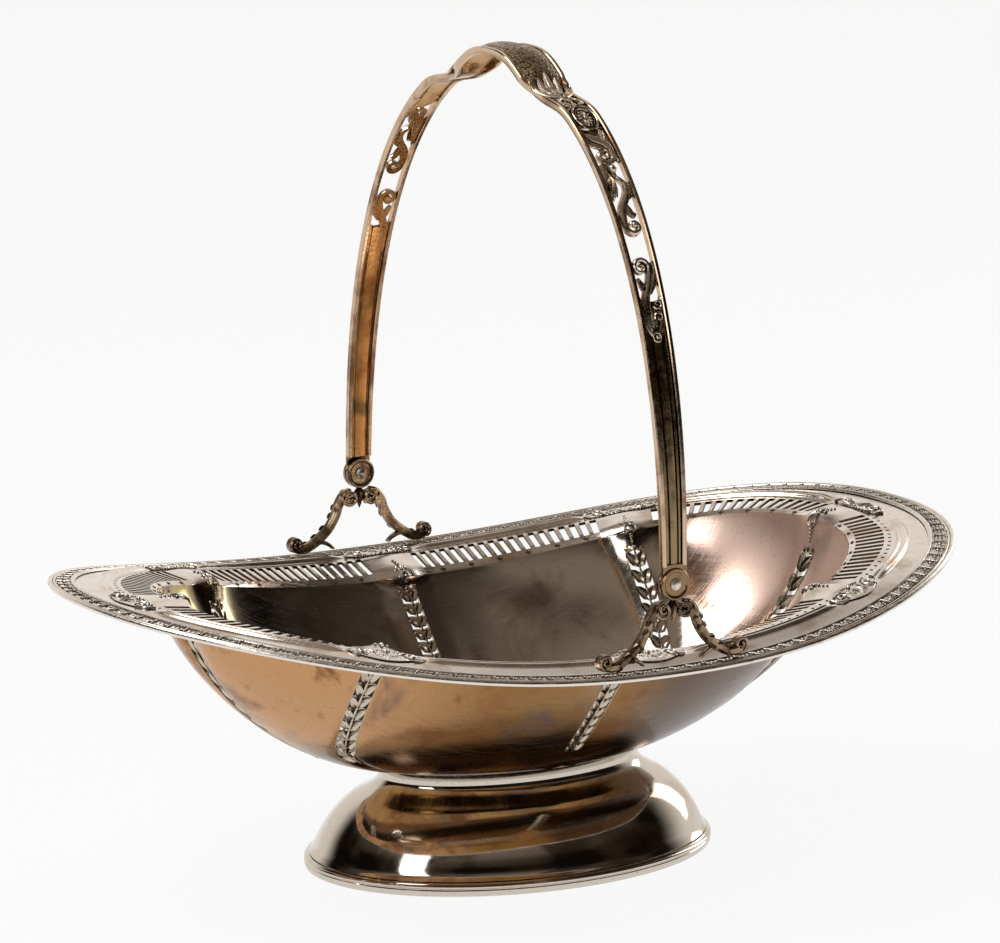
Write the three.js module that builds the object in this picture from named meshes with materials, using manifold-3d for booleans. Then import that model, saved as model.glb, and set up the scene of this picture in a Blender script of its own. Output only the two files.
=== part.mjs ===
// An oval pierced basket of silver-plated metal with a swing handle, as used for cake or flowers.
// It stands on z = 0, its long axis lies along X and the handle spans Y. Lengths are in millimetres.
import * as THREE from 'three';
import { mergeVertices } from 'three/addons/utils/BufferGeometryUtils.js';
import Module from 'manifold-3d';

const wasm = await Module();
wasm.setup();

// Clearances
const SEAT_GAP = 0.3; // between pieces that are soldered or riveted together
const SHEET = 1.0; // thickness of the raised sheet of the bowl and the foot
const CUT_DEPTH = 8; // length of the punches that pierce the sheet

// Rim of the bowl, in plan a superellipse, higher at its two ends than at its sides
const RIM_LENGTH = 320;
const RIM_WIDTH = 214.8;
const RIM_POWER = 2.26;
const RIM_END_HEIGHT = 102.7;
const RIM_SIDE_HEIGHT = 82.5;
const RIM_CORNER_LIFT = 2.0; // how far the rim stands over a plain wave between end and side
const EDGE_INSET = 1.8; // the sheet ends this far inside the border's outer edge
const SHEET_RISE = 0.9; // top of the sheet over the border's lower edge

// Bands of the flange, from the border inwards
const BORDER_WIDTH = 9;
const BORDER_HEIGHT = 2.3;
const LIP_WIDTH = 1.5;
const PLAIN_BAND = 6;
const RIDGE_WIDTH = 5;
const RIDGE_HEIGHT = 1.2;
const SLOT_MARGIN = 3.5; // plain strip between the ridge moulding and the slots
const SLOT_LENGTH = 9.5;
const SLOT_WIDTH = 2.3;
const SLOT_PITCH = 3.7;
const SLOT_FREE_END = 8; // unpierced run on each side of a rib
const TURN_WIDTH = 2.2; // from the slots to the top of the wall

// Rise of the flange over the rim line at the ends and at the sides
const RIDGE_FOOT_RISE = { end: 0.4, side: 3.0 };
const SLOT_TOP_RISE = { end: -0.3, side: 2.8 };
const SLOT_FOOT_RISE = { end: -1.7, side: -0.6 };
const WALL_TOP_RISE = { end: -2.7, side: -2.6 };

// Wall of the bowl: a hollow curve between its seat on the foot and the flange
const WALL_POWER = { end: 1.58, side: 1.09 };
const WALL_STEPS = [0.8, 0.6, 0.4, 0.2, 0];
const SEAT_INSET = 21; // the bowl's flat bottom lies this far inside the edge of the foot

// Eight ribs part the bowl into panels
const RIBS = 8;
const PANEL = (2 * Math.PI) / RIBS;
const RIB_DEPTH = 3.0;
const RIB_WIDTH = 0.075; // half width, in panels
const RIM_TURN = THREE.MathUtils.degToRad(9); // the diagonal ribs lean towards the sides at the rim
const WALL_LEAN = { top: 0.6, low: -2.1, lowStep: 0.33 }; // shares of it on the wall, reversed low down
const RIB_FLANK = 0.045; // first column beside a rib, in panels
const PANEL_COLUMNS = [0, RIB_FLANK, 0.1, 0.22, 0.4, 0.6, 0.78, 0.9, 1 - RIB_FLANK];
const SEAT_COLUMNS = [0, RIB_FLANK, 0.22, 0.5, 0.78, 1 - RIB_FLANK];

// Pierced garland down each rib: leaf-shaped holes on both sides of its stem, two in each of the
// cells between the wall's steps. In a cell, x is 0 at the stem and 1 at the flank, y runs down.
const GARLAND_TOP = 0.8; // step of the wall at its upper end
const LEAF_HOLES = [0.1, 0.6].map((y) => [
  new THREE.Vector2(0.18, y + 0.02),
  new THREE.Vector2(0.9, y + 0.12),
  new THREE.Vector2(0.9, y + 0.34),
]);

// Crest ornaments on the flange at the top of each rib
const CREST_LENGTH = 26;
const CREST_DEPTH = 9.2;
const CREST_THICKNESS = 1.4;
const CREST_LOBES = 4;
const CREST_NOTCH = 0.26;
const CREST_POINTS = 20;

// Foot: an elliptical spreading foot on a rolled base ring
const FOOT_LENGTH = 147;
const FOOT_WIDTH = 107.2;
const FOOT_HEIGHT = 35.7;
const FOOT_COLUMNS = 42;
const BASE_RING_HEIGHT = 4.5;
const BASE_RING_WIDTH = 3.6;

// Handle: a channelled strip bent to an arch with a domed grip
const PIVOT_HEIGHT = 112;
const HINGE_INSET = 5.5; // the joint faces lie this far inside the rim's edge at the sides
const ARCH_HEIGHT = 156.5; // of the plain arch over the pivots
const ARCH_POWER = 2.2;
const STRIP_THICKNESS = 2.6;
const STRIP_FOOT_WIDTH = 9;
const STRIP_TOP_WIDTH = 12.6;
const RAIL_WIDTH = 1.6;
const RAIL_HEIGHT = 0.5;
const CHANNEL_DEPTH = 0.8;
const ARM_STEPS = 7;
const GRIP_STEPS = 8;
const SHOULDER_TURN = THREE.MathUtils.degToRad(64); // the grip's finer steps begin here
const CORNER_SHARE = 0.3; // of an opening's width, taken by its corners
const GRIP_HALF = 20;
const GRIP_BLEND = 7; // run in which the grip narrows to the arm
const GRIP_EXTRA_WIDTH = 4.4;
const GRIP_DOME = 1.6;
const GRIP_RISE = 3.6;
const WAIST_HALF = 28;
const SHOULDER_HALF = 47;

// Hinge
const DISC_RADIUS = 5.3;
const DISC_THICKNESS = 1.9;
const DISC_SIDES = 20;
const NECK_THICKNESS = 1.0;
const NECK_REACH = 3; // of the neck over the disc
const PUNCH_SIDES = 12;
const DISH_RADIUS = 4.3;
const DISH_DEPTH = 0.5;
const RIVET_RADIUS = 1.2;
const RIVET_HEAD_RADIUS = 2.0;
const RIVET_HEAD_HEIGHT = 0.9;

// Brackets
const LEG_DEPTH = 3.6;
const LEG_WIDTH = 3.7;
const VOLUTE_RADIUS = 3.2;
const VOLUTE_SIDES = 14;
const VOLUTE_SPREAD = 4.0;
const VOLUTE_DROP = 8.4;
const FOOT_SPREAD = 22.3;
const TOE_SPREAD = 26;
const TOE_RADIUS = 2.3;

const X = new THREE.Vector3(1, 0, 0);
const FULL_TURN = 2 * Math.PI;
const SMALL_TURN = 0.005; // step for the directions of curves, in radians

// Joining and cutting

function solidOf(geometry) {
  const bare = geometry.clone();
  bare.deleteAttribute('normal');
  bare.deleteAttribute('uv');
  const merged = mergeVertices(bare, 1e-4);
  const vertProperties = new Float32Array(merged.attributes.position.array);
  const triVerts = new Uint32Array(merged.index.array);
  return new wasm.Manifold(new wasm.Mesh({ numProp: 3, vertProperties, triVerts }));
}

function geometryOf(solid) {
  const { vertProperties, triVerts } = solid.getMesh();
  const geometry = new THREE.BufferGeometry();
  geometry.setAttribute('position', new THREE.BufferAttribute(vertProperties, 3));
  geometry.setIndex(new THREE.BufferAttribute(triVerts, 1));
  geometry.computeVertexNormals();
  return geometry;
}

function join(geometries) {
  const [first, ...rest] = geometries.map(solidOf);
  return rest.reduce((whole, piece) => whole.add(piece), first);
}

function cut(solid, geometries) {
  return geometries.reduce((left, punch) => left.subtract(solidOf(punch)), solid);
}

// Lofts a skin through closed rings of equally many points. It loops back to the first ring,
// unless the rings' outlines are given, and then its two ends are closed flat.
function loft(rings, outlines) {
  const count = rings[0].length;
  const points = rings.flat();
  const bands = outlines ? rings.length - 1 : rings.length;
  const faces = [];
  for (let i = 0; i < bands; i++) {
    const near = i * count;
    const far = ((i + 1) % rings.length) * count;
    for (let j = 0; j < count; j++) {
      const next = (j + 1) % count;
      faces.push(...quad(near + j, near + next, far + next, far + j));
    }
  }
  if (outlines) {
    faces.push(...cap(outlines[0], 0).map(reversed));
    faces.push(...cap(outlines[1], (rings.length - 1) * count));
  }
  return closedGeometry(points, faces);
}

function quad(a, b, c, d) {
  return [[a, b, d], [b, c, d]];
}

function closedGeometry(points, faces) {
  const outward = volume(points, faces) > 0 ? faces : faces.map(reversed);
  const geometry = new THREE.BufferGeometry().setFromPoints(points);
  geometry.setIndex(outward.flat());
  geometry.computeVertexNormals();
  return geometry;
}

// Flat faces that fill an outline round its holes, all wound as the outline is
function capFaces(outline, holes = []) {
  const points = [outline, ...holes].flat();
  const windingOf = (corners) => Math.sign(THREE.ShapeUtils.area(corners));
  return THREE.ShapeUtils.triangulateShape(outline, holes).map((face) => {
    return windingOf(face.map((k) => points[k])) === windingOf(outline) ? face : reversed(face);
  });
}

function cap(outline, offset) {
  return capFaces(outline).map((face) => face.map((k) => k + offset));
}

function reversed(face) {
  return [...face].reverse();
}

function volume(points, faces) {
  const cross = new THREE.Vector3();
  return faces.reduce(
    (sum, [a, b, c]) => sum + cross.crossVectors(points[a], points[b]).dot(points[c]) / 6, 0);
}

// Plan of the basket

function signedPower(value, power) {
  return Math.sign(value) * Math.abs(value) ** power;
}

function onOval(halfLength, halfWidth, power, angle) {
  return {
    x: halfLength * signedPower(Math.cos(angle), 2 / power),
    y: halfWidth * signedPower(Math.sin(angle), 2 / power),
  };
}

function between(pair, angle) {
  return pair.end * Math.cos(angle) ** 2 + pair.side * Math.sin(angle) ** 2;
}

// Height of the border's lower edge around the rim
function rimLine(angle) {
  const plain = between({ end: RIM_END_HEIGHT, side: RIM_SIDE_HEIGHT }, angle);
  return plain + RIM_CORNER_LIFT * Math.sin(2 * angle) ** 2;
}

function leaned(angle, share) {
  return angle + share * RIM_TURN * Math.sin(2 * angle);
}

// Distance from the nearest rib, in panels
function offRib(angle) {
  const place = angle / PANEL;
  return Math.abs(place - Math.round(place));
}

const RIDGE_INSET = BORDER_WIDTH + PLAIN_BAND;
const SLOT_INSET = RIDGE_INSET + RIDGE_WIDTH + SLOT_MARGIN;
const WALL_INSET = SLOT_INSET + SLOT_LENGTH + TURN_WIDTH;
const BOTTOM_HEIGHT = FOOT_HEIGHT + SEAT_GAP + SHEET; // inner face of the bowl's bottom
const CREST_INSET = RIDGE_INSET + RIDGE_WIDTH / 2;

// A station is one line around the bowl: its oval, the lean of the ribs and its height at an angle
function flangeStation(inset, rise, lean, rib, { name, ridge = 0 } = {}) {
  return {
    name,
    halfLength: RIM_LENGTH / 2 - inset,
    halfWidth: RIM_WIDTH / 2 - inset,
    power: RIM_POWER,
    lean,
    rib,
    height: (angle, off) => {
      const clearOfRib = THREE.MathUtils.smoothstep(off, 0.11, 0.2);
      return rimLine(angle) + between(rise, angle) + ridge * clearOfRib;
    },
  };
}

function flatRise(rise) {
  return { end: rise, side: rise };
}

function middle(pairA, pairB) {
  return { end: (pairA.end + pairB.end) / 2, side: (pairA.side + pairB.side) / 2 };
}

const RIDGE = { name: 'ridge', ridge: RIDGE_HEIGHT };

function flangeStations() {
  return [
    flangeStation(EDGE_INSET, flatRise(SHEET_RISE), 1, 0),
    flangeStation(BORDER_WIDTH, flatRise(SHEET_RISE), 1, 0),
    flangeStation(RIDGE_INSET, RIDGE_FOOT_RISE, 1, 0),
    flangeStation(CREST_INSET, middle(RIDGE_FOOT_RISE, SLOT_TOP_RISE), 1, 0, RIDGE),
    flangeStation(RIDGE_INSET + RIDGE_WIDTH, SLOT_TOP_RISE, 0.92, 0.1),
    flangeStation(SLOT_INSET, SLOT_TOP_RISE, 0.85, 0.25, { name: 'slot top' }),
    flangeStation(SLOT_INSET + SLOT_LENGTH, SLOT_FOOT_RISE, 0.7, 0.7, { name: 'slot foot' }),
    flangeStation(WALL_INSET, WALL_TOP_RISE, WALL_LEAN.top, 0.9),
  ];
}

function wallLean(step) {
  const share = Math.min(1, (1 - step) / (1 - WALL_LEAN.lowStep));
  return THREE.MathUtils.lerp(WALL_LEAN.top, WALL_LEAN.low, share ** 2);
}

function wallStation(step) {
  const quarter = (step * Math.PI) / 2;
  const spread = (power) => Math.sin(quarter) ** (2 / power);
  const seat = { end: FOOT_LENGTH / 2 - SEAT_INSET, side: FOOT_WIDTH / 2 - SEAT_INSET };
  const top = { end: RIM_LENGTH / 2 - WALL_INSET, side: RIM_WIDTH / 2 - WALL_INSET };
  return {
    halfLength: THREE.MathUtils.lerp(seat.end, top.end, spread(WALL_POWER.end)),
    halfWidth: THREE.MathUtils.lerp(seat.side, top.side, spread(WALL_POWER.side)),
    power: THREE.MathUtils.lerp(2, RIM_POWER, step),
    lean: wallLean(step),
    rib: Math.sin(Math.min(1, step / 0.8) * (Math.PI / 2)),
    height: (angle) => {
      const climb = 1 - Math.cos(quarter) ** (2 / between(WALL_POWER, angle));
      const wallTop = rimLine(angle) + between(WALL_TOP_RISE, angle);
      return THREE.MathUtils.lerp(BOTTOM_HEIGHT, wallTop, climb);
    },
  };
}

const STATIONS = [...flangeStations(), ...WALL_STEPS.map(wallStation)];
const stationCalled = (name) => STATIONS.findIndex((station) => station.name === name);
const RIDGE_STATION = stationCalled('ridge');
const SLOT_TOP = stationCalled('slot top');
const SLOT_FOOT = stationCalled('slot foot');
const SEAT = STATIONS.length - 1;
const GARLAND_STATION = STATIONS.length - WALL_STEPS.length + WALL_STEPS.indexOf(GARLAND_TOP);
const UNDERSIDE_SKIPS = [RIDGE_STATION, RIDGE_STATION + 1]; // the moulding doesn't show underneath

function smoothPoint(station, turn) {
  const angle = leaned(turn, station.lean);
  const { x, y } = onOval(station.halfLength, station.halfWidth, station.power, angle);
  return new THREE.Vector3(x, y, station.height(angle, offRib(turn)));
}

// Upward normal of the smooth bowl, without its ribs
function bowlNormal(index, turn) {
  const outer = STATIONS[Math.max(index - 1, 0)];
  const inner = STATIONS[Math.min(index + 1, SEAT)];
  const along = smoothPoint(STATIONS[index], turn + SMALL_TURN);
  along.sub(smoothPoint(STATIONS[index], turn - SMALL_TURN));
  const inwards = smoothPoint(inner, turn).sub(smoothPoint(outer, turn));
  const normal = along.cross(inwards).normalize();
  return normal.z < 0 ? normal.negate() : normal;
}

// A point of the bowl's sheet at a depth under its upper face
function sheetPoint(index, turn, depth = 0) {
  const station = STATIONS[index];
  const swell = RIB_DEPTH * station.rib * Math.exp(-((offRib(turn) / RIB_WIDTH) ** 2));
  return smoothPoint(station, turn).addScaledVector(bowlNormal(index, turn), swell - depth);
}

function bowlTurns(columns = PANEL_COLUMNS) {
  return Array.from({ length: RIBS }, (_, rib) => columns.map((share) => (rib + share) * PANEL)).flat();
}

// Bowl: one raised sheet with a pierced flange. Its skin is stitched from closed rings, coarse ones
// on the plain sheet and two fine ones at the ends of the slots, with a point at each slot's corner.

// Distance along the slot band for each of many turns from one rib to the next
function slotRuler(panel) {
  const samples = 240;
  const turnAt = (k) => (panel + k / samples) * PANEL;
  const middleAt = (turn) => sheetPoint(SLOT_TOP, turn).lerp(sheetPoint(SLOT_FOOT, turn), 0.5);
  const run = [0];
  for (let k = 1; k <= samples; k++) {
    run.push(run[k - 1] + middleAt(turnAt(k)).distanceTo(middleAt(turnAt(k - 1))));
  }
  const turnOf = (distance) => {
    const k = Math.max(1, run.findIndex((length) => length >= distance));
    return turnAt(k - 1 + (distance - run[k - 1]) / (run[k] - run[k - 1]));
  };
  return { length: run[samples], turnOf };
}

// The columns of the fine rings: the rib's own, then each slot's two sides
function slotColumns(panel) {
  const { length, turnOf } = slotRuler(panel);
  const run = length - 2 * SLOT_FREE_END;
  const count = Math.max(1, Math.floor((run - SLOT_WIDTH) / SLOT_PITCH) + 1);
  const start = (length - (count - 1) * SLOT_PITCH) / 2;
  const plainColumn = (share) => ({ centre: (panel + share) * PANEL, side: 0 });
  const columns = [plainColumn(0), plainColumn(RIB_FLANK)];
  for (let slot = 0; slot < count; slot++) {
    const centre = turnOf(start + slot * SLOT_PITCH);
    columns.push({ centre, side: -1 }, { centre, side: 1 });
  }
  return [...columns, plainColumn(1 - RIB_FLANK)];
}

// Turn at which a column of the slot band crosses a station, half a slot beside the slot's middle
function columnTurn({ centre, side }, index) {
  const run = sheetPoint(index, centre + SMALL_TURN).distanceTo(sheetPoint(index, centre - SMALL_TURN));
  return centre + (side * SLOT_WIDTH * SMALL_TURN) / run;
}

function addRing(skin, turns, pointAt) {
  const ids = turns.map((turn) => skin.points.push(pointAt(turn)) - 1);
  return { turns: [...turns, turns[0] + FULL_TURN], ids: [...ids, ids[0]] };
}

// Closes the band between two rings with triangles, always to the nearer next point
function stitch(skin, near, far, isLeftOut = () => false) {
  let i = 0;
  let j = 0;
  while (i < near.ids.length - 1 || j < far.ids.length - 1) {
    const nearNext = near.turns[i + 1] ?? Infinity;
    const farNext = far.turns[j + 1] ?? Infinity;
    const isNear = nearNext <= farNext;
    const middle = isNear ? (near.turns[i] + nearNext) / 2 : (far.turns[j] + farNext) / 2;
    const corner = isNear ? near.ids[i + 1] : far.ids[j + 1];
    if (!isLeftOut(middle)) skin.faces.push([near.ids[i], corner, far.ids[j]]);
    if (isNear) i++;
    else j++;
  }
}

// Pushes a face of the sheet's upper side and the same face of its lower side
function pushBoth(skin, face, top, bottom) {
  skin.faces.push(face.map((k) => top[k]), face.map((k) => bottom[k]).reverse());
}

// Walls of a hole whose corners lie at these places of the two lists
function holeWalls(skin, corners, top, bottom) {
  corners.forEach((k, c) => {
    const next = corners[(c + 1) % corners.length];
    skin.faces.push(...quad(top[k], top[next], bottom[next], bottom[k]));
  });
}

// Ids of the four corners between two rings and two of their columns
function cellCorners(outer, inner, column, next) {
  return [outer.ids[column], outer.ids[next], inner.ids[next], inner.ids[column]];
}

// The slot band on both faces of the sheet: bars between the slots, and the slots' walls
function pierceSlots(skin, columns, upper, lower) {
  columns.forEach(({ side }, k) => {
    const top = cellCorners(upper[SLOT_TOP], upper[SLOT_FOOT], k, k + 1);
    const bottom = cellCorners(lower[SLOT_TOP], lower[SLOT_FOOT], k, k + 1);
    if (side < 0) holeWalls(skin, [0, 1, 2, 3], top, bottom);
    else quad(0, 1, 2, 3).forEach((face) => pushBoth(skin, face, top, bottom));
  });
}

const CELL = [[0, 0], [1, 0], [1, 1], [0, 1]].map(([x, y]) => new THREE.Vector2(x, y));
const CELL_FACES = capFaces(CELL, LEAF_HOLES);
const HOLE_CORNERS = LEAF_HOLES.map((hole, h) => hole.map((_, c) => CELL.length + h * hole.length + c));

// Half of a rib's strip between two stations, with its leaf-shaped holes
function pierceGarland(skin, upper, lower, index, rib, side) {
  const columns = upper[index].ids.length - 1;
  const stem = rib * PANEL_COLUMNS.length;
  const flank = (stem + side + columns) % columns;
  const withHoles = (rings) => {
    const ids = cellCorners(rings[index - 1], rings[index], stem, flank);
    const [a, b, c, d] = ids.map((id) => skin.points[id]);
    const place = ({ x, y }) => a.clone().lerp(b, x).lerp(d.clone().lerp(c, x), y);
    return [...ids, ...LEAF_HOLES.flat().map((point) => skin.points.push(place(point)) - 1)];
  };
  const [top, bottom] = side > 0 ? [upper, lower].map(withHoles) : [lower, upper].map(withHoles);
  CELL_FACES.forEach((face) => pushBoth(skin, face, top, bottom));
  HOLE_CORNERS.forEach((corners) => holeWalls(skin, corners, top, bottom));
}

// The rings of one face of the sheet, from its edge to its seat
function faceRings(skin, columns, depth) {
  return STATIONS.map((station, index) => {
    const isFine = index === SLOT_TOP || index === SLOT_FOOT;
    const plain = bowlTurns(index === SEAT ? SEAT_COLUMNS : PANEL_COLUMNS);
    const turns = isFine ? columns.map((column) => columnTurn(column, index)) : plain;
    return addRing(skin, turns, (turn) => {
      const point = sheetPoint(index, turn, depth);
      return index === SEAT ? point.setZ(BOTTOM_HEIGHT - depth) : point;
    });
  });
}

function stitchFace(skin, rings, skips, isUpper) {
  const kept = rings.map((_, index) => index).filter((index) => !skips.includes(index));
  const inGarland = (turn) => offRib(turn) < RIB_FLANK;
  for (let k = 1; k < kept.length; k++) {
    const index = kept[k];
    if (index === SLOT_FOOT) continue;
    const pair = [rings[kept[k - 1]], rings[index]];
    const isPierced = index > GARLAND_STATION && index < SEAT;
    stitch(skin, ...(isUpper ? pair : pair.reverse()), isPierced ? inGarland : undefined);
  }
}

function bowl() {
  const skin = { points: [], faces: [] };
  const columns = Array.from({ length: RIBS }, (_, panel) => slotColumns(panel)).flat();
  const upper = faceRings(skin, columns, 0);
  const lower = faceRings(skin, columns, SHEET);
  stitch(skin, lower[0], upper[0]);
  stitchFace(skin, upper, [], true);
  stitchFace(skin, lower, UNDERSIDE_SKIPS, false);
  pierceSlots(skin, columns, upper, lower);
  for (let index = GARLAND_STATION + 1; index < SEAT; index++) {
    for (let rib = 0; rib < RIBS; rib++) {
      pierceGarland(skin, upper, lower, index, rib, -1);
      pierceGarland(skin, upper, lower, index, rib, 1);
    }
  }
  const outlineOf = ({ ids }) => ids.slice(0, -1).map((id) => new THREE.Vector2(...skin.points[id]));
  skin.faces.push(...cap(outlineOf(upper[SEAT]), upper[SEAT].ids[0]));
  skin.faces.push(...cap(outlineOf(lower[SEAT]), lower[SEAT].ids[0]).map(reversed));
  return closedGeometry(skin.points, skin.faces);
}

// Puts a piece drawn in the XY plane onto the bowl: its X runs along the rim, its Z stands up
function layOn(geometry, place, along, up) {
  const across = up.clone().cross(along).normalize();
  const frame = new THREE.Matrix4().makeBasis(across.clone().cross(up), across, up);
  return geometry.applyMatrix4(frame.setPosition(place));
}

// Border: a stamped strip with a rolled edge, soldered over the edge of the sheet
function rimBorder() {
  const seat = SHEET_RISE + SEAT_GAP;
  const section = [
    [LIP_WIDTH, 0],
    [0.5, 0],
    [0, 0.8],
    [0.5, 1.7],
    [2.2, 1.6],
    [3.6, BORDER_HEIGHT],
    [BORDER_WIDTH - 2, BORDER_HEIGHT],
    [BORDER_WIDTH, seat],
    [LIP_WIDTH, seat],
  ];
  const rings = section.map(([inset, rise]) => {
    const station = flangeStation(inset, flatRise(rise), 1, 0);
    return bowlTurns().map((turn) => smoothPoint(station, turn));
  });
  return loft(rings);
}

// Crest: a flat lobed leaf ornament that follows the flange over a rib
function crest(rib) {
  const turn = rib * PANEL;
  const outline = Array.from({ length: CREST_POINTS }, (_, k) => {
    const angle = (k / CREST_POINTS) * FULL_TURN;
    const lobe = 1 - CREST_NOTCH * (1 - Math.cos(CREST_LOBES * angle));
    const x = (CREST_LENGTH / 2) * Math.cos(angle);
    return new THREE.Vector2(x, (CREST_DEPTH / 2) * lobe * Math.sin(angle));
  });
  const leaf = new THREE.ExtrudeGeometry(new THREE.Shape(outline), {
    depth: CREST_THICKNESS,
    bevelEnabled: false,
  });
  const up = bowlNormal(RIDGE_STATION, turn);
  const centre = sheetPoint(RIDGE_STATION, turn);
  const along = sheetPoint(RIDGE_STATION, turn + SMALL_TURN).sub(centre);
  const lift = crestLift(turn, centre, up);
  return layOn(leaf, centre.clone().addScaledVector(up, lift), along, up);
}

// How far the crest stands off so that it clears the flange over its whole length
function crestLift(turn, centre, up) {
  let highest = 0;
  for (let index = 1; index <= SLOT_TOP; index++) {
    for (let off = -CREST_LENGTH / 2; off <= CREST_LENGTH / 2; off += 1) {
      const point = sheetPoint(index, turn + off / centre.length());
      if (point.distanceTo(centre) > CREST_LENGTH / 2) continue;
      highest = Math.max(highest, point.sub(centre).dot(up));
    }
  }
  return highest + SEAT_GAP;
}

// Foot

function footRing(inset, height) {
  return Array.from({ length: FOOT_COLUMNS }, (_, k) => {
    const angle = (k / FOOT_COLUMNS) * FULL_TURN;
    const { x, y } = onOval(FOOT_LENGTH / 2 - inset, FOOT_WIDTH / 2 - inset, 2, angle);
    return new THREE.Vector3(x, y, height);
  });
}

// Outline of the spreading foot: inset from the edge of the base and share of the height
function footProfile() {
  const low = BASE_RING_HEIGHT + SEAT_GAP;
  const profile = [
    [1.7, 0],
    [3.0, 0.058],
    [4.2, 0.142],
    [5.8, 0.24],
    [8.6, 0.375],
    [12.2, 0.505],
    [16.2, 0.608],
    [20.6, 0.686],
    [24.0, 0.77],
    [25.4, 0.867],
    [SEAT_INSET + 3, 1],
  ];
  return profile.map(([inset, share]) => {
    return new THREE.Vector2(inset, THREE.MathUtils.lerp(low, FOOT_HEIGHT, share));
  });
}

// The same outline moved inwards by the thickness of the sheet
function innerProfile(profile) {
  return profile.map((point, k) => {
    const before = profile[Math.max(k - 1, 0)];
    const after = profile[Math.min(k + 1, profile.length - 1)];
    const run = after.clone().sub(before).normalize();
    const inner = new THREE.Vector2(point.x + run.y * SHEET, point.y - run.x * SHEET);
    if (k === 0 || k === profile.length - 1) inner.y = point.y;
    return inner;
  });
}

function foot() {
  const outer = footProfile();
  const inner = innerProfile(outer).filter((_, k) => ![1, 2, 3, 5, 8].includes(k));
  return loft([...outer, ...inner.reverse()].map(({ x, y }) => footRing(x, y)));
}

function footBaseRing() {
  const section = [
    [0.7, 0],
    [0, 1.3],
    [0, 3.2],
    [1.0, BASE_RING_HEIGHT],
    [BASE_RING_WIDTH, BASE_RING_HEIGHT],
    [BASE_RING_WIDTH, 0],
  ];
  return loft(section.map(([inset, height]) => footRing(inset, height)));
}

// Handle

const JOINT_FACE = RIM_WIDTH / 2 - HINGE_INSET; // distance of the joint faces from the middle

// Lift of the grip and dip of the waists, over and under the plain arch
function gripLift(reach) {
  if (reach < WAIST_HALF) return GRIP_RISE * Math.cos(Math.PI * (reach / WAIST_HALF) ** 1.5);
  if (reach > SHOULDER_HALF) return 0;
  const share = (reach - WAIST_HALF) / (SHOULDER_HALF - WAIST_HALF);
  return (-GRIP_RISE * (1 + Math.cos(Math.PI * share))) / 2;
}

// Middle of the strip at an angle from the front pivot, a half turn being the back pivot
function archPoint(angle) {
  const { x, y } = onOval(JOINT_FACE, ARCH_HEIGHT, ARCH_POWER, angle);
  return new THREE.Vector3(0, -x, PIVOT_HEIGHT + y + gripLift(Math.abs(x)));
}

function archFrame(angle) {
  const step = 0.01;
  const along = archPoint(angle + step).sub(archPoint(angle - step)).normalize();
  return { at: archPoint(angle), along, out: new THREE.Vector3().crossVectors(X, along) };
}

function gripShare(angle) {
  const reach = Math.abs(archPoint(angle).y);
  return 1 - THREE.MathUtils.smoothstep(reach, GRIP_HALF, GRIP_HALF + GRIP_BLEND);
}

function stripWidth(angle) {
  const climb = (archPoint(angle).z - PIVOT_HEIGHT) / ARCH_HEIGHT;
  const arm = THREE.MathUtils.lerp(STRIP_FOOT_WIDTH, STRIP_TOP_WIDTH, Math.min(1, climb));
  return arm + GRIP_EXTRA_WIDTH * gripShare(angle);
}

// Section of the strip: two rails with a raised web between them, hollow underneath
function stripSection(angle) {
  const half = stripWidth(angle) / 2;
  const web = half - RAIL_WIDTH;
  const face = STRIP_THICKNESS / 2;
  const dome = GRIP_DOME * gripShare(angle);
  const right = [
    [0, face - RAIL_HEIGHT + dome],
    [web, face - RAIL_HEIGHT],
    [web, face],
    [half, face],
    [half, -face],
    [web, -face],
    [web, CHANNEL_DEPTH - face],
  ];
  const left = right.slice(1).reverse().map(([x, h]) => [-x, h]);
  const under = [0, CHANNEL_DEPTH - face + dome];
  return [...right, under, ...left].map(([x, h]) => new THREE.Vector2(x, h));
}

function archAngles() {
  const start = archAngleAt((DISC_RADIUS + 2 * SEAT_GAP) / ARCH_HEIGHT);
  const top = Math.PI / 2;
  const half = [];
  for (let k = 0; k < ARM_STEPS; k++) half.push(THREE.MathUtils.lerp(start, SHOULDER_TURN, k / ARM_STEPS));
  for (let k = 0; k < GRIP_STEPS; k++) half.push(THREE.MathUtils.lerp(SHOULDER_TURN, top, k / GRIP_STEPS));
  return [...half, top, ...half.map((angle) => Math.PI - angle).reverse()];
}

// Angle at which the front arm reaches a share of the arch's height
function archAngleAt(climb) {
  return Math.asin(climb ** (ARCH_POWER / 2));
}

function strip() {
  const angles = archAngles();
  const rings = angles.map((angle) => {
    const { at, out } = archFrame(angle);
    return stripSection(angle).map(({ x, y }) => at.clone().addScaledVector(X, x).addScaledVector(out, y));
  });
  return loft(rings, [stripSection(angles[0]), stripSection(angles[angles.length - 1])]);
}

// Openings of one arm, between its rails: the climb up the arch, the side, the length and the width
const OPENINGS = [
  { climb: 0.606, side: -2.3, length: 9.6, width: 2.8, taper: 0.3 },
  { climb: 0.612, side: 2.9, length: 4.6, width: 1.8, taper: 0.3 },
  { climb: 0.676, side: 0, length: 8.4, width: 8.4, taper: 1 },
  { climb: 0.743, side: 2.5, length: 9.6, width: 3.0, taper: 0.3 },
  { climb: 0.757, side: -2.9, length: 4.6, width: 1.9, taper: 0.3 },
  { climb: 0.84, side: 3.3, length: 4.6, width: 1.8, taper: 0.4 },
  { climb: 0.84, side: -3.3, length: 4.6, width: 1.8, taper: 0.4 },
];

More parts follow.
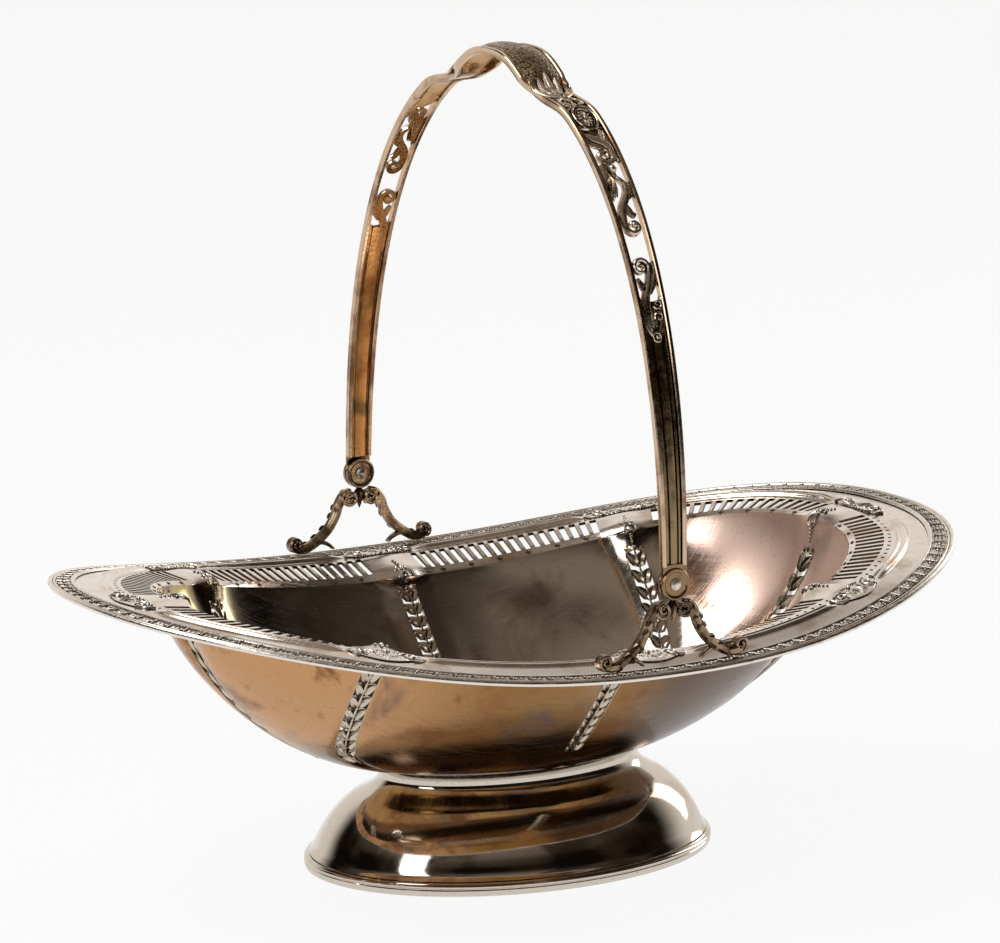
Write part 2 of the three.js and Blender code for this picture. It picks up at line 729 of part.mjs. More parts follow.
// A rounded opening that narrows towards one end
function openingPunch({ climb, side, length, width, taper }) {
  const corner = Math.min(width, length) * CORNER_SHARE;
  const wide = width / 2;
  const slim = wide * taper;
  const shape = new THREE.Shape([
    new THREE.Vector2(-wide, corner - length / 2),
    new THREE.Vector2(corner - wide, -length / 2),
    new THREE.Vector2(wide - corner, -length / 2),
    new THREE.Vector2(wide, corner - length / 2),
    new THREE.Vector2(slim, length / 2),
    new THREE.Vector2(-slim, length / 2),
  ]);
  const punch = new THREE.ExtrudeGeometry(shape, { depth: CUT_DEPTH, bevelEnabled: false });
  const { at, along, out } = archFrame(archAngleAt(climb));
  const frame = new THREE.Matrix4().makeBasis(X, along, out);
  const place = at.clone().addScaledVector(X, side).addScaledVector(out, -CUT_DEPTH / 2);
  return punch.applyMatrix4(frame.setPosition(place));
}

// A round bar along Y between two distances outwards from the middle, on the front side
function crossBar(radius, from, to, sides = DISC_SIDES) {
  const bar = new THREE.CylinderGeometry(radius, radius, to - from, sides);
  return bar.translate(0, -(from + to) / 2, PIVOT_HEIGHT);
}

function turned(geometry) {
  return geometry.clone().rotateZ(Math.PI);
}

const DISC_INNER = JOINT_FACE + SEAT_GAP / 2;
const DISC_OUTER = DISC_INNER + DISC_THICKNESS;
const EAR_OUTER = JOINT_FACE - SEAT_GAP / 2;
const EAR_INNER = EAR_OUTER - DISC_THICKNESS;
const BORE_RADIUS = RIVET_RADIUS + SEAT_GAP;

// Neck that carries the hinge disc at the foot of an arm
function armNeck() {
  const low = DISC_RADIUS / 2;
  const high = DISC_RADIUS + NECK_REACH;
  const neck = new THREE.BoxGeometry(STRIP_FOOT_WIDTH, NECK_THICKNESS, high - low);
  return neck.translate(0, -(DISC_INNER + NECK_THICKNESS / 2), PIVOT_HEIGHT + (low + high) / 2);
}

function bailHandle() {
  const ends = [armNeck(), crossBar(DISC_RADIUS, DISC_INNER, DISC_OUTER)];
  const holes = [
    ...OPENINGS.map(openingPunch),
    crossBar(BORE_RADIUS, EAR_INNER, DISC_OUTER + 1, PUNCH_SIDES),
    crossBar(DISH_RADIUS, DISC_OUTER - DISH_DEPTH, DISC_OUTER + 1),
  ];
  const whole = join([strip(), ...ends, ...ends.map(turned)]);
  return geometryOf(cut(whole, [...holes, ...holes.map(turned)]));
}

// Rivet with a domed head on each side, along Y through the front hinge
function rivet() {
  const inner = EAR_INNER - SEAT_GAP;
  const outer = DISC_OUTER - DISH_DEPTH + SEAT_GAP;
  const profile = [
    [0, inner - RIVET_HEAD_HEIGHT],
    [RIVET_HEAD_RADIUS * 0.7, inner - RIVET_HEAD_HEIGHT * 0.7],
    [RIVET_HEAD_RADIUS, inner],
    [RIVET_RADIUS, inner],
    [RIVET_RADIUS, outer],
    [RIVET_HEAD_RADIUS, outer],
    [RIVET_HEAD_RADIUS * 0.7, outer + RIVET_HEAD_HEIGHT * 0.7],
    [0, outer + RIVET_HEAD_HEIGHT],
  ];
  const points = profile.map(([radius, reach]) => new THREE.Vector2(radius, reach));
  return new THREE.LatheGeometry(points, PUNCH_SIDES).rotateZ(Math.PI).translate(0, 0, PIVOT_HEIGHT);
}

// Brackets

// A bar of changing width along a curve in the XZ plane, between two distances from the middle
function scrollBar(points, widths, from, to, steps = 10) {
  const curve = new THREE.CatmullRomCurve3(points.map(([x, z]) => new THREE.Vector3(x, z, 0)));
  const sides = [[], []];
  for (let k = 0; k <= steps; k++) {
    const share = k / steps;
    const at = curve.getPoint(share);
    const run = curve.getTangent(share);
    const half = THREE.MathUtils.lerp(widths[0], widths[1], share) / 2;
    sides[0].push(new THREE.Vector2(at.x - run.y * half, at.y + run.x * half));
    sides[1].push(new THREE.Vector2(at.x + run.y * half, at.y - run.x * half));
  }
  const outline = new THREE.Shape([...sides[0], ...sides[1].reverse()]);
  const bar = new THREE.ExtrudeGeometry(outline, { depth: to - from, bevelEnabled: false });
  return bar.rotateX(Math.PI / 2).translate(0, -from, PIVOT_HEIGHT);
}

function volute(x, drop, radius, from, to) {
  return crossBar(radius, from, to, VOLUTE_SIDES).translate(x, 0, -drop);
}

function mirrored(geometry) {
  const other = geometry.clone().scale(-1, 1, 1);
  const count = other.attributes.position.count;
  const corners = other.index ? [...other.index.array] : Array.from({ length: count }, (_, k) => k);
  for (let k = 0; k < corners.length; k += 3) {
    [corners[k], corners[k + 2]] = [corners[k + 2], corners[k]];
  }
  other.setIndex(corners);
  return other;
}

// Height of the border's top beside the bracket's feet
function bracketSeat() {
  const angle = Math.acos((FOOT_SPREAD / (RIM_LENGTH / 2)) ** (RIM_POWER / 2));
  return rimLine(angle) + BORDER_HEIGHT + SEAT_GAP;
}

function bracket() {
  const from = EAR_INNER;
  const to = EAR_INNER + LEG_DEPTH;
  const low = bracketSeat() - PIVOT_HEIGHT;
  const sole = low + LEG_WIDTH / 2;
  const leg = scrollBar(
    [
      [VOLUTE_SPREAD + 1, -VOLUTE_DROP + 1.4],
      [9.2, -13.2],
      [13.2, THREE.MathUtils.lerp(-13.2, sole, 0.48)],
      [18.2, sole + 1.7],
      [FOOT_SPREAD, sole],
      [TOE_SPREAD, sole + 1.6],
    ],
    [LEG_WIDTH, LEG_WIDTH], from, to, 12);
  const toe = volute(TOE_SPREAD, -(sole + 1.9), TOE_RADIUS, from, to);
  const tail = scrollBar(
    [
      [FOOT_SPREAD - 4, sole + 1.4],
      [FOOT_SPREAD - 8, sole + 1.2],
      [FOOT_SPREAD - 11, low + 1],
    ],
    [2.6, 1.4], from, from + 2, 5);
  const side = [leg, toe, tail, volute(VOLUTE_SPREAD, VOLUTE_DROP, VOLUTE_RADIUS, from, to)];
  const leafTip = -VOLUTE_DROP - VOLUTE_RADIUS - 0.6;
  const leaf = scrollBar([[0, 2 - DISC_RADIUS], [0, leafTip]], [5, 1], from, to, 2);
  const ear = crossBar(DISC_RADIUS, EAR_INNER, EAR_OUTER);
  const holes = [
    crossBar(DISC_RADIUS + SEAT_GAP, EAR_OUTER, DISC_OUTER + LEG_DEPTH),
    crossBar(BORE_RADIUS, EAR_INNER - 1, EAR_OUTER + 1, PUNCH_SIDES),
  ];
  return geometryOf(cut(join([ear, leaf, ...side, ...side.map(mirrored)]), holes));
}

// Assembly

const basket = new THREE.Group();

function add(name, geometry, colour, roughness) {
  const material = new THREE.MeshStandardMaterial({ color: colour, roughness, metalness: 1 });
  const mesh = new THREE.Mesh(geometry, material);
  mesh.name = name;
  basket.add(mesh);
}

add('bowl', bowl(), '#8f7a5f', 0.22);
add('rim_border', rimBorder(), '#b9aea2', 0.38);
for (let rib = 0; rib < RIBS; rib++) add(`crest_${rib + 1}`, crest(rib), '#b3a698', 0.38);
add('foot', foot(), '#9b8670', 0.18);
add('foot_base_ring', footBaseRing(), '#a59079', 0.25);
add('bail_handle', bailHandle(), '#7d6a50', 0.3);
add('bracket_front', bracket(), '#6f6049', 0.36);
add('bracket_back', turned(bracket()), '#6f6049', 0.36);
add('rivet_front', rivet(), '#85745c', 0.3);
add('rivet_back', turned(rivet()), '#85745c', 0.3);

export default basket;
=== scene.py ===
# Looks of an oval pierced basket of silver plate with a swing handle.
# Shapes are drawn in millimetres and become metres when a piece is finished.
import math
from bisect import bisect_right
from functools import partial

import bmesh
import bpy
from mathutils import Matrix, Vector


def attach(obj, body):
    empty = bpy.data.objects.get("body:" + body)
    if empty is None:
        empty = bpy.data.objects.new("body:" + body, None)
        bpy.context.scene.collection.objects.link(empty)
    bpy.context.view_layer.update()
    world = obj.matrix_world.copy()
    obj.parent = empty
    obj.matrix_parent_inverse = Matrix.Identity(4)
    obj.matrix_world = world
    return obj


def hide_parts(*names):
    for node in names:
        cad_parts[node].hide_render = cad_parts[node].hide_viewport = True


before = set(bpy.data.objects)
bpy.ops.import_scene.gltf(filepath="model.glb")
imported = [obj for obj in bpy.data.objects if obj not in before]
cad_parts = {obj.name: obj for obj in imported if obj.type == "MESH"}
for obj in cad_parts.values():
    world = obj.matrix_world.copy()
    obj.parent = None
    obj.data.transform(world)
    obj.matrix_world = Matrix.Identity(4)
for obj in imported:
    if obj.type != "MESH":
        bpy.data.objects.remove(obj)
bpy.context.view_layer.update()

MM = 0.001
FULL_TURN = 2 * math.pi
X_AXIS = Vector((1, 0, 0))
WELD = 1e-4  # points closer than this become one

# Rim and plan of the bowl
RIM_LENGTH = 320
RIM_WIDTH = 214.8
RIM_POWER = 2.26
RIM_END_HEIGHT = 102.7
RIM_SIDE_HEIGHT = 82.5
RIM_CORNER_LIFT = 2.0
RIM_TURN = math.radians(9)
SHEET = 1.0
EDGE_INSET = 1.8
BORDER_WIDTH = 9
BORDER_HEIGHT = 2.3

# Bands of the flange: inset, rise at the ends, rise at the sides, lean and swell of the ribs
FLANGE = (
    (EDGE_INSET, 0.9, 0.9, 1.0, 0.0),
    (BORDER_WIDTH, 0.9, 0.9, 1.0, 0.0),
    (15.0, 0.4, 3.0, 1.0, 0.0),
    (20.0, -0.3, 2.8, 0.92, 0.1),
    (23.5, -0.3, 2.8, 0.85, 0.25),
    (33.0, -1.7, -0.6, 0.7, 0.7),
    (35.2, -2.7, -2.6, 0.6, 0.9),
)
RIDGE_INSET = 17.5
RIDGE_HEIGHT = 1.2
RIDGE_HALF = 2.5
RIDGE_HUMP = 0.75  # its share of the ridge's height, the beads give the rest
RIDGE_CLEAR = (0.11, 0.2)  # places beside a rib, in panels, between which the ridge rises
RIDGE_BEADS = (16.2, 18.6)
BEAD_HALF = 0.75
BEAD_HEIGHT = 0.55
HOLE_BAND = (21.1, 22.2)
HOLE_WIDTH = 1.0
SLOT_BAND = (23.5, 33.0)
SLOT_WIDTH = 2.3
SLOT_PITCH = 3.7
SLOT_FREE_END = 8
WALL_INSET = 35.2
WALL_POWER = (1.58, 1.09)
WALL_LEAN = (0.6, -2.1)  # shares of the rim's turn, at the top of the wall and low down
LOW_STEP = 0.33
WALL_TOP_RISE = (-2.7, -2.6)
WALL_SPAN = 70  # length given to the wall in the bowl's line coordinate
FOOT_LENGTH = 147
FOOT_WIDTH = 107.2
FOOT_HEIGHT = 35.7
SEAT_INSET = 21
SEAT_GAP = 0.3
BOTTOM_HEIGHT = FOOT_HEIGHT + SEAT_GAP + SHEET

# Ribs and the garlands in them
RIBS = 8
PANEL = FULL_TURN / RIBS
RIB_DEPTH = 3.0
RIB_WIDTH = 0.075  # in panels
RIB_HALVED = 50  # line of the bowl from which a rib is half as deep as at the flange
RIB_FADE = 0.8  # step of the wall under which a rib fades out towards the seat
GARLAND_HALF = 3.4
GARLAND_LINES = (45.5, 87)  # where the garlands begin and end on the bowl's line
GARLAND_UNITS = 9

# Handle and hinges
PIVOT_HEIGHT = 112
JOINT_FACE = RIM_WIDTH / 2 - 5.5
ARCH_HEIGHT = 156.5
ARCH_POWER = 2.2
STRIP_THICKNESS = 2.6
STRIP_FOOT_WIDTH = 9
STRIP_TOP_WIDTH = 12.6
RAIL_WIDTH = 1.6
GRIP_HALF = 20
GRIP_BLEND = 7
GRIP_EXTRA_WIDTH = 4.4
GRIP_DOME = 1.6
GRIP_RISE = 3.6
WAIST_HALF = 28
SHOULDER_HALF = 47
DISC_RADIUS = 5.3
DISC_THICKNESS = 1.9
DISC_INNER = JOINT_FACE + SEAT_GAP / 2
DISC_OUTER = DISC_INNER + DISC_THICKNESS
EAR_OUTER = JOINT_FACE - SEAT_GAP / 2
EAR_INNER = EAR_OUTER - DISC_THICKNESS
LEG_DEPTH = 3.6
SHARP_FROM = math.radians(32)  # edges that turn more than this stay crisp


# Colours and materials

def linear(hex_colour):
    """The linear colour of an sRGB hex value."""
    parts = [int(hex_colour[k:k + 2], 16) / 255 for k in (1, 3, 5)]
    return [c / 12.92 if c <= 0.04045 else ((c + 0.055) / 1.055) ** 2.4 for c in parts] + [1.0]


def add_node(tree, kind, settings=None, out=0, **sockets):
    """Add a node and give back one of its outputs.

    A socket, by name or as i and its number, takes a value or another node's output.
    """
    node = tree.nodes.new("ShaderNode" + kind)
    for key, value in (settings or {}).items():
        setattr(node, key, value)
    for key, value in sockets.items():
        is_number = key[0] == "i" and key[1:].isdigit()
        socket = node.inputs[int(key[1:])] if is_number else node.inputs[key.replace("_", " ")]
        if isinstance(value, bpy.types.NodeSocket):
            tree.links.new(value, socket)
        else:
            socket.default_value = value
    return node.outputs[out] if node.outputs else None


def empty_tree(owner):
    """Clear the nodes of a material or world, and give the function that adds new ones."""
    owner.use_nodes = True
    owner.node_tree.nodes.clear()
    return partial(add_node, owner.node_tree)


SMOOTH = {"interpolation_type": "SMOOTHSTEP"}
COLOURS = {"data_type": "RGBA"}
MIXED_COLOUR = 2  # the output of a mix that carries colours
SUM = {"operation": "ADD"}
LARGEST = {"operation": "MAXIMUM"}


def blend(add, value, low, high, first, last, most=1.0):
    """A colour that goes from the first towards the last while a value goes from low to high."""
    share = add("MapRange", SMOOTH, Value=value, From_Min=low, From_Max=high, To_Max=most)
    return add("Mix", COLOURS, MIXED_COLOUR, Factor=share, i6=first, i7=last)


def plate(name, silver, films, roughness, scratch=0.05, specks=None, recess=None, zones=(), shades=(),
          haze=None, marks=0.0, grain=0.0, matted=None, is_strip=False):
    """Polished silver plate that has tarnished and worn.

    Films are clouds of tarnish, each a colour, a patch size in mm and an amount. Zones lie under the
    films and shades over them, each an axis, a colour, and the places in mm where it begins and where it
    is full. Specks are pits and dust. A recess is the colour of old polish and how far it reaches, in mm.
    Haze dulls the mirror along an axis. Marks are nicks, and grain is a matted ground.
    """
    material = bpy.data.materials.new(name)
    add = empty_tree(material)
    place = add("TexCoord", out="Object")

    def strokes(sizes, turn=(0, 0, 0), **more):
        scale = [1 / (size * MM) for size in sizes]
        stretched = add("Mapping", Vector=place, Rotation=turn, Scale=scale)
        return add("TexNoise", Vector=stretched, Scale=1.0, **more)

    # Each layer is a value, where on it the layer begins and is full, the most that it covers, and a colour
    def bands(zones):
        return [(add("SeparateXYZ", out=axis, Vector=place), low * MM, high * MM, 0.8, tint)
                for axis, tint, low, high in zones]

    layers = bands(zones)
    for k, (film, patch, amount) in enumerate(films):
        shifted = add("Mapping", Vector=place, Location=(0.31 * k, 0.17 * k, 0.23 * k))
        clouds = add("TexNoise", Vector=shifted, Scale=1 / (patch * MM), Detail=4.0, Roughness=0.6,
                     Distortion=0.4)
        layers.append((clouds, 0.62 - amount, 0.74 - amount * 0.6, 0.85, film))
    layers += bands(shades)
    if specks:
        dust = add("TexNoise", Vector=place, Scale=1 / (0.9 * MM), Detail=2.0)
        layers.append((dust, 0.6, 0.78, 0.4, specks))
    if recess:
        hidden, reach = recess
        openness = add("AmbientOcclusion", {"samples": 6}, "AO", Distance=reach * MM)
        layers.append((openness, 0.85, 0.2, 1.0, hidden))

    # Real polishing lines are finer than a tenth of a millimetre. These are half a millimetre wide, so
    # that they show.
    wiped = strokes((0.45, 14, 14) if is_strip else (14, 14, 0.45), Detail=4.0, Roughness=0.7)
    rubbed = strokes((16, 0.5, 16), (0.5, 0.9, 0.4), Detail=3.0)
    lines = add("Math", SUM, i0=wiped, i1=rubbed)
    gloss = add("MapRange", SMOOTH, Value=lines, From_Min=0.75, From_Max=1.3, To_Min=roughness * 0.7,
                To_Max=roughness * 1.5)
    dulled = []
    if marks:
        dulled.append((strokes((7, 0.35, 7), (1.1, 0.3, 0.8), Detail=1.0, Distortion=1.2), 0.68, 0.8, marks))
    if haze:
        axis, low, high, amount = haze
        dulled.append((add("SeparateXYZ", out=axis, Vector=place), low * MM, high * MM, amount))
    for value, low, high, amount in dulled:
        more = add("MapRange", SMOOTH, Value=value, From_Min=low, From_Max=high, To_Max=amount)
        gloss = add("Math", SUM, i0=gloss, i1=more)
    normal = add("Bump", Strength=scratch, Distance=0.05 * MM, Height=lines)
    if grain:
        # A matting punch leaves dots of about 0.3 mm, drawn more than twice as coarse so that they show
        dimples = add("TexNoise", Vector=place, Scale=1 / (0.75 * MM), Detail=1.0)
        normal = add("Bump", Strength=grain, Distance=0.15 * MM, Height=dimples, Normal=normal)
        if matted:
            layers.append((dimples, 0.58, 0.4, 1.0, matted))

    colour = linear(silver)
    for value, low, high, most, tint in layers:
        colour = blend(add, value, low, high, colour, linear(tint), most)
    metal = add("BsdfPrincipled", Base_Color=colour, Metallic=1.0, Roughness=gloss, Normal=normal)
    add("OutputMaterial", Surface=metal)
    return material


# Inside of the bowl: a worn mirror, brown-grey with olive gold at one end, and at the other a rosy film
# painted near white as a sheen
BOWL_INSIDE = plate("silver_plate_worn_mirror", "#cbc2b6", [("#9c8a74", 42, 0.1), ("#8b8078", 26, 0.06)],
                    0.12, scratch=0.1, specks="#5a4a3a", marks=0.2, haze=("X", 96, 118, 0.38),
                    # the pale rosy colour laid over the films is a rosy film painted near white as a sheen
                    zones=[("X", "#b39c5e", -50, -90)], shades=[("X", "#ffdccb", 84, 104)])
# Outside of the bowl: a golden brown film with orange and grey violet clouds over fine polishing lines.
# Low down it is painted dark brown as shade just above the foot, and below that a pale golden band is
# painted as light on the underside, which the foot reflects. Its colour is also darker towards one end.
BOWL_OUTSIDE = plate("silver_plate_golden_tarnish_painted_shade_and_light", "#8f693b",
                     [("#8a5a30", 30, 0.12), ("#6d5850", 40, 0.1), ("#7a4f2b", 16, 0.05)], 0.2, scratch=0.14,
                     specks="#4b2f1a", marks=0.12, grain=0.05,
                     # the dark brown zone from 57 to 43 mm is painted shade just above the foot
                     zones=[("X", "#c9996e", -35, -90), ("Z", "#3a2717", 57, 43),
                            # painted light: a pale golden band at the seat, a lit underside for the foot to
                            # reflect
                            ("Z", "#c39a66", 40.5, 38.5)],
                     shades=[("X", "#382218", 0, 34)])
# Flange: cream silver with a thin rosy brown film in places
FLANGE_PLATE = plate("silver_plate_cream", "#e6ddd3", [("#b8a08a", 30, 0.1), ("#c9a892", 55, 0.05)], 0.2,
                     specks="#6a5542")
# Stamped ornament: pale on its high points, grey brown in its recesses
ORNAMENT = plate("silver_stamped_oxidised", "#e8e0d6", [("#c4b5a1", 12, 0.04)], 0.28, recess=("#6e5d4c", 1.1))
# Fleur marks under the slots and cut edges of the sheet: dark, painted shade standing in for the
# shade in piercings and openings
PIERCING_SHADE = plate("silver_painted_piercing_shade", "#5b4b3c", [("#3a2e23", 6, 0.1)], 0.4)
# Garlands: brighter polished leaves with dark hollows between them
GARLAND_SILVER = plate("silver_pierced_leaves", "#c6baa8", [("#9a8560", 18, 0.08)], 0.16,
                       recess=("#33281d", 1.0))
# Foot: the cleanest mirror of the basket, with a thin golden film in places
FOOT_PLATE = plate("silver_plate_mirror", "#cdc4b8", [("#b19a76", 40, 0.06)], 0.075, scratch=0.03,
                   specks="#5b4a38")
# Rails of the handle: rubbed bright by hands, brown beside the channel
RAIL_PLATE = plate("silver_rubbed_rails", "#cbb195", [("#7c573c", 26, 0.14)], 0.16, recess=("#3a2a1c", 0.9),
                   is_strip=True)
# Channel between the rails: bronze brown, nearly black in its grooves
CHANNEL_PLATE = plate("silver_bronzed_channel", "#97815f", [("#5c4832", 14, 0.1)], 0.22,
                      recess=("#1d150e", 1.3), is_strip=True)
# Cast scrolls of the handle: pale brown on top, dark in the hollows
ORNAMENT_CAST = plate("silver_cast_bronzed", "#d6c6b2", [("#9c846a", 9, 0.06)], 0.24, recess=("#35281c", 1.1))
# Underside of the handle: orange gold with olive patches
UNDER_PLATE = plate("silver_orange_tarnish", "#b98c57", [("#94602f", 14, 0.12), ("#665637", 22, 0.1)], 0.17,
                    recess=("#3d2512", 1.3), is_strip=True)
# Top of the grip: a matted ground, dark between the dots
GRIP_PLATE = plate("silver_matted_dark", "#b29a7c", [("#8d755a", 6, 0.1)], 0.36, grain=1.0, matted="#43352a")
# Discs at the hinges: brown in the dish
DISC_PLATE = plate("silver_bronzed_disc", "#8f7455", [("#7c6248", 6, 0.1)], 0.2, recess=("#21170f", 1.4))
# Heads of the rivets: rubbed bright and soft
RIVET_SILVER = plate("silver_rubbed_rivet", "#e2d8ca", [("#b09a7c", 3, 0.04)], 0.4)
# Brackets: dark bronze brown with rubbed edges
BRACKET_PLATE = plate("silver_cast_oxidised", "#9a846c", [("#4c3a2a", 6, 0.2)], 0.2, recess=("#17110b", 2.2))


# Making pieces

def face_outwards(bm):
    """Turn the faces of one closed shape outwards, told by the sign of its volume."""
    bmesh.ops.recalc_face_normals(bm, faces=bm.faces)
    if bm.calc_volume(signed=True) < 0:
        bmesh.ops.reverse_faces(bm, faces=bm.faces)


def skin(rings, is_loop=False):
    """A skin over rings of equally many points, welded where it meets itself."""
    count = len(rings[0])
    rows = rings + rings[:1] if is_loop else rings
    bm = bmesh.new()
    bmesh.ops.create_grid(bm, x_segments=count, y_segments=len(rows) - 1, size=1)
    bm.verts.ensure_lookup_table()
    for row, ring in enumerate(rows):
        for column in range(count + 1):
            bm.verts[row * (count + 1) + column].co = ring[column % count]
    bmesh.ops.remove_doubles(bm, verts=bm.verts, dist=WELD)
    open_edges = [edge for edge in bm.edges if edge.is_boundary]
    if open_edges:
        bmesh.ops.holes_fill(bm, edges=open_edges)
    face_outwards(bm)
    return bm


def lathe(outline, steps):
    """Turn an outline of radii and heights once round the upright axis."""
    bm = bmesh.new()
    verts = [bm.verts.new((radius, 0, height)) for radius, height in outline]
    edges = [bm.edges.new(pair) for pair in zip(verts, verts[1:])]
    bmesh.ops.spin(bm, geom=verts + edges, cent=(0, 0, 0), axis=(0, 0, 1), angle=FULL_TURN, steps=steps,
                   use_merge=True)
    bmesh.ops.remove_doubles(bm, verts=bm.verts, dist=WELD)
    face_outwards(bm)
    return bm


def merge(target, source, place=None):
    """Add a mesh to another, each point put where place says."""
    if place:
        volume = source.calc_volume(signed=True)
        for vert in source.verts:
            vert.co = place(vert.co)
        if volume * source.calc_volume(signed=True) < 0:
            bmesh.ops.reverse_faces(source, faces=source.faces)
    carrier = bpy.data.meshes.new("carrier")
    source.to_mesh(carrier)
    target.from_mesh(carrier)
    bpy.data.meshes.remove(carrier)


def together(parts, place=None):
    """One mesh of many parts, put where place says."""
    bm = bmesh.new()
    for part in parts:
        merge(bm, part, place)
    return bm


def both_sides(parts):
    """Parts drawn to the right of the middle line, and their mirror images."""
    images = []
    for part in parts:
        image = part.copy()
        bmesh.ops.scale(image, vec=(-1, 1, 1), verts=image.verts)
        bmesh.ops.reverse_faces(image, faces=image.faces)
        images.append(image)
    return parts + images


def put(name, data):
    """A new object in the scene."""
    thing = bpy.data.objects.new(name, data)
    bpy.context.collection.objects.link(thing)
    return thing


def piece(name, bm, materials, body, slot, *replaced):
    """Finish a mesh drawn in millimetres as a piece of the basket."""
    bmesh.ops.scale(bm, vec=(MM, MM, MM), verts=bm.verts)
    mesh = bpy.data.meshes.new(name)
    bm.to_mesh(mesh)
    bm.free()
    mesh.shade_smooth()
    mesh.set_sharp_from_angle(angle=SHARP_FROM)
    for material in materials:
        mesh.materials.append(material)
    thing = put(name, mesh)
    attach(thing, body)
    if replaced:
        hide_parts(*replaced)


def lerp(a, b, share):
    return a + (b - a) * share


def smoothstep(value, low, high):
    share = min(1, max(0, (value - low) / (high - low)))
    return share * share * (3 - 2 * share)


def run_lengths(points):
    """Distance of each point along a line of points."""
    run = [0.0]
    for a, b in zip(points, points[1:]):
        run.append(run[-1] + (b - a).length)
    return run


def value_at(values, run, distance):
    """The value at a distance along a run, between the values at its points."""
    k = min(max(bisect_right(run, distance), 1), len(run) - 1)
    return lerp(values[k - 1], values[k], (distance - run[k - 1]) / (run[k] - run[k - 1]))


def smooth_path(points, steps=6):
    """A smooth run of points through a few, each with any number of values."""
    ends = [points[0]] + list(points) + [points[-1]]
    path = []
    for k in range(1, len(ends) - 2):
        a, b, c, d = ends[k - 1:k + 3]
        for step in range(steps):
            t = step / steps
            path.append(tuple(0.5 * (2 * q + (r - p) * t + (2 * p - 5 * q + 4 * r - s) * t ** 2
                                     + (3 * q - p - 3 * r + s) * t ** 3) for p, q, r, s in zip(a, b, c, d)))
    return path + [tuple(points[-1])]


def heading(path, k):
    """Direction of a path in its plane at one of its points."""
    before = path[max(k - 1, 0)]
    after = path[min(k + 1, len(path) - 1)]
    return Vector((after[0] - before[0], after[1] - before[1])).normalized()


def spiral(centre, start_radius, end_radius, start_angle, turns, steps):
    """Points of a spiral in the plane of a scroll."""
    path = []
    for k in range(steps + 1):
        share = k / steps
        radius = lerp(start_radius, end_radius, share)
        angle = start_angle + turns * FULL_TURN * share
        path.append((centre[0] + radius * math.cos(angle), centre[1] + radius * math.sin(angle)))
    return path


def scroll(path, widths, low, high, edge=0.35):
    """A flat bar along a path in its plane, with rounded edges, from low to high across the plane."""
    rings = []
    last = len(path) - 1
    for k, (x, y) in enumerate(path):
        run = heading(path, k)
        half = lerp(*widths, k / last) / 2 * (1 if 0 < k < last else 0.35)
        soft = min(edge, half * 0.6)
        section = [(half, low + soft), (half, high - soft), (half - soft, high), (soft - half, high),
                   (-half, high - soft), (-half, low + soft), (soft - half, low), (half - soft, low)]
        rings.append([Vector((x - run.y * u, y + run.x * u, w)) for u, w in section])
    return skin(rings)


VINE_SECTION = ((1, 0), (1, 0.45), (0.78, 0.82), (0.3, 1), (-0.3, 1), (-0.78, 0.82), (-1, 0.45), (-1, 0))


def vine(points, low=-0.6, high=1.0, steps=5):
    """A rounded stem through a few points (x, y, width), from low to high across its plane."""
    path = smooth_path(points, steps)
    rings = []
    for k, (x, y, width) in enumerate(path):
        run = heading(path, k)
        half = width / 2
        rings.append([Vector((x - run.y * u * half, y + run.x * u * half, lerp(low, high, w)))
                      for u, w in VINE_SECTION])
    return skin(rings)


def volute(centre, radii, start_degrees, turns, widths, steps=16):
    """Points of a vine that rolls up round a centre."""
    path = spiral(centre, *radii, math.radians(start_degrees), turns, steps)
    return [(x, y, lerp(*widths, k / steps)) for k, (x, y) in enumerate(path)]


LEAF_SECTION = [(-1.0, 0.0), (-0.62, 0.75), (0.0, 0.45), (0.62, 0.75), (1.0, 0.0), (0.0, -0.25)]


def leaf(root, tip, half_width, rise, base=0.0, bend=0.0, steps=4, blunt=1.0):
    """A folded leaf lying in a plane: two swollen halves beside a sunken vein, pointed at both ends."""
    start = Vector(root)
    run = Vector(tip) - start
    side = Vector((-run.y, run.x)).normalized()
    rings = []
    for k in range(steps + 1):
        share = k / steps
        swell = max(0.0, math.sin(math.pi * share ** 0.8)) ** blunt
        middle = start + run * share + side * bend * math.sin(math.pi * share)
        rings.append([
            Vector((middle.x + side.x * u * half_width * swell, middle.y + side.y * u * half_width * swell,
                    base + w * rise * max(swell, 0.02)))
            for u, w in LEAF_SECTION])
    return skin(rings)


def pearl(x, y, radius, base=0.0, height=1.0):
    bm = bmesh.new()
    bmesh.ops.create_uvsphere(bm, u_segments=10, v_segments=7, radius=radius)
    bmesh.ops.scale(bm, vec=(1, 1, height), verts=bm.verts)
    bmesh.ops.translate(bm, vec=(x, y, base), verts=bm.verts)
    return bm


# The bowl's form

def on_oval(half_length, half_width, power, angle):
    """A point of a superellipse."""
    cosine, sine = math.cos(angle), math.sin(angle)
    return (half_length * math.copysign(abs(cosine) ** (2 / power), cosine),
            half_width * math.copysign(abs(sine) ** (2 / power), sine))


def between(pair, angle):
    """A value for the ends and one for the sides, mixed for an angle."""
    return pair[0] * math.cos(angle) ** 2 + pair[1] * math.sin(angle) ** 2


def rim_line(angle):
    """Height of the border's lower edge around the rim."""
    return between((RIM_END_HEIGHT, RIM_SIDE_HEIGHT), angle) + RIM_CORNER_LIFT * math.sin(2 * angle) ** 2


def off_rib(turn):
    """How far a turn is from the nearest rib, in panels."""
    place = turn / PANEL
    return abs(place - round(place))


def flange_at(inset):
    """Rises, lean and swell of the flange at an inset from the rim's edge."""
    for low, high in zip(FLANGE, FLANGE[1:]):
        if inset <= high[0]:
            share = (inset - low[0]) / (high[0] - low[0])
            return [lerp(a, b, share) for a, b in zip(low[1:], high[1:])]
    return FLANGE[-1][1:]


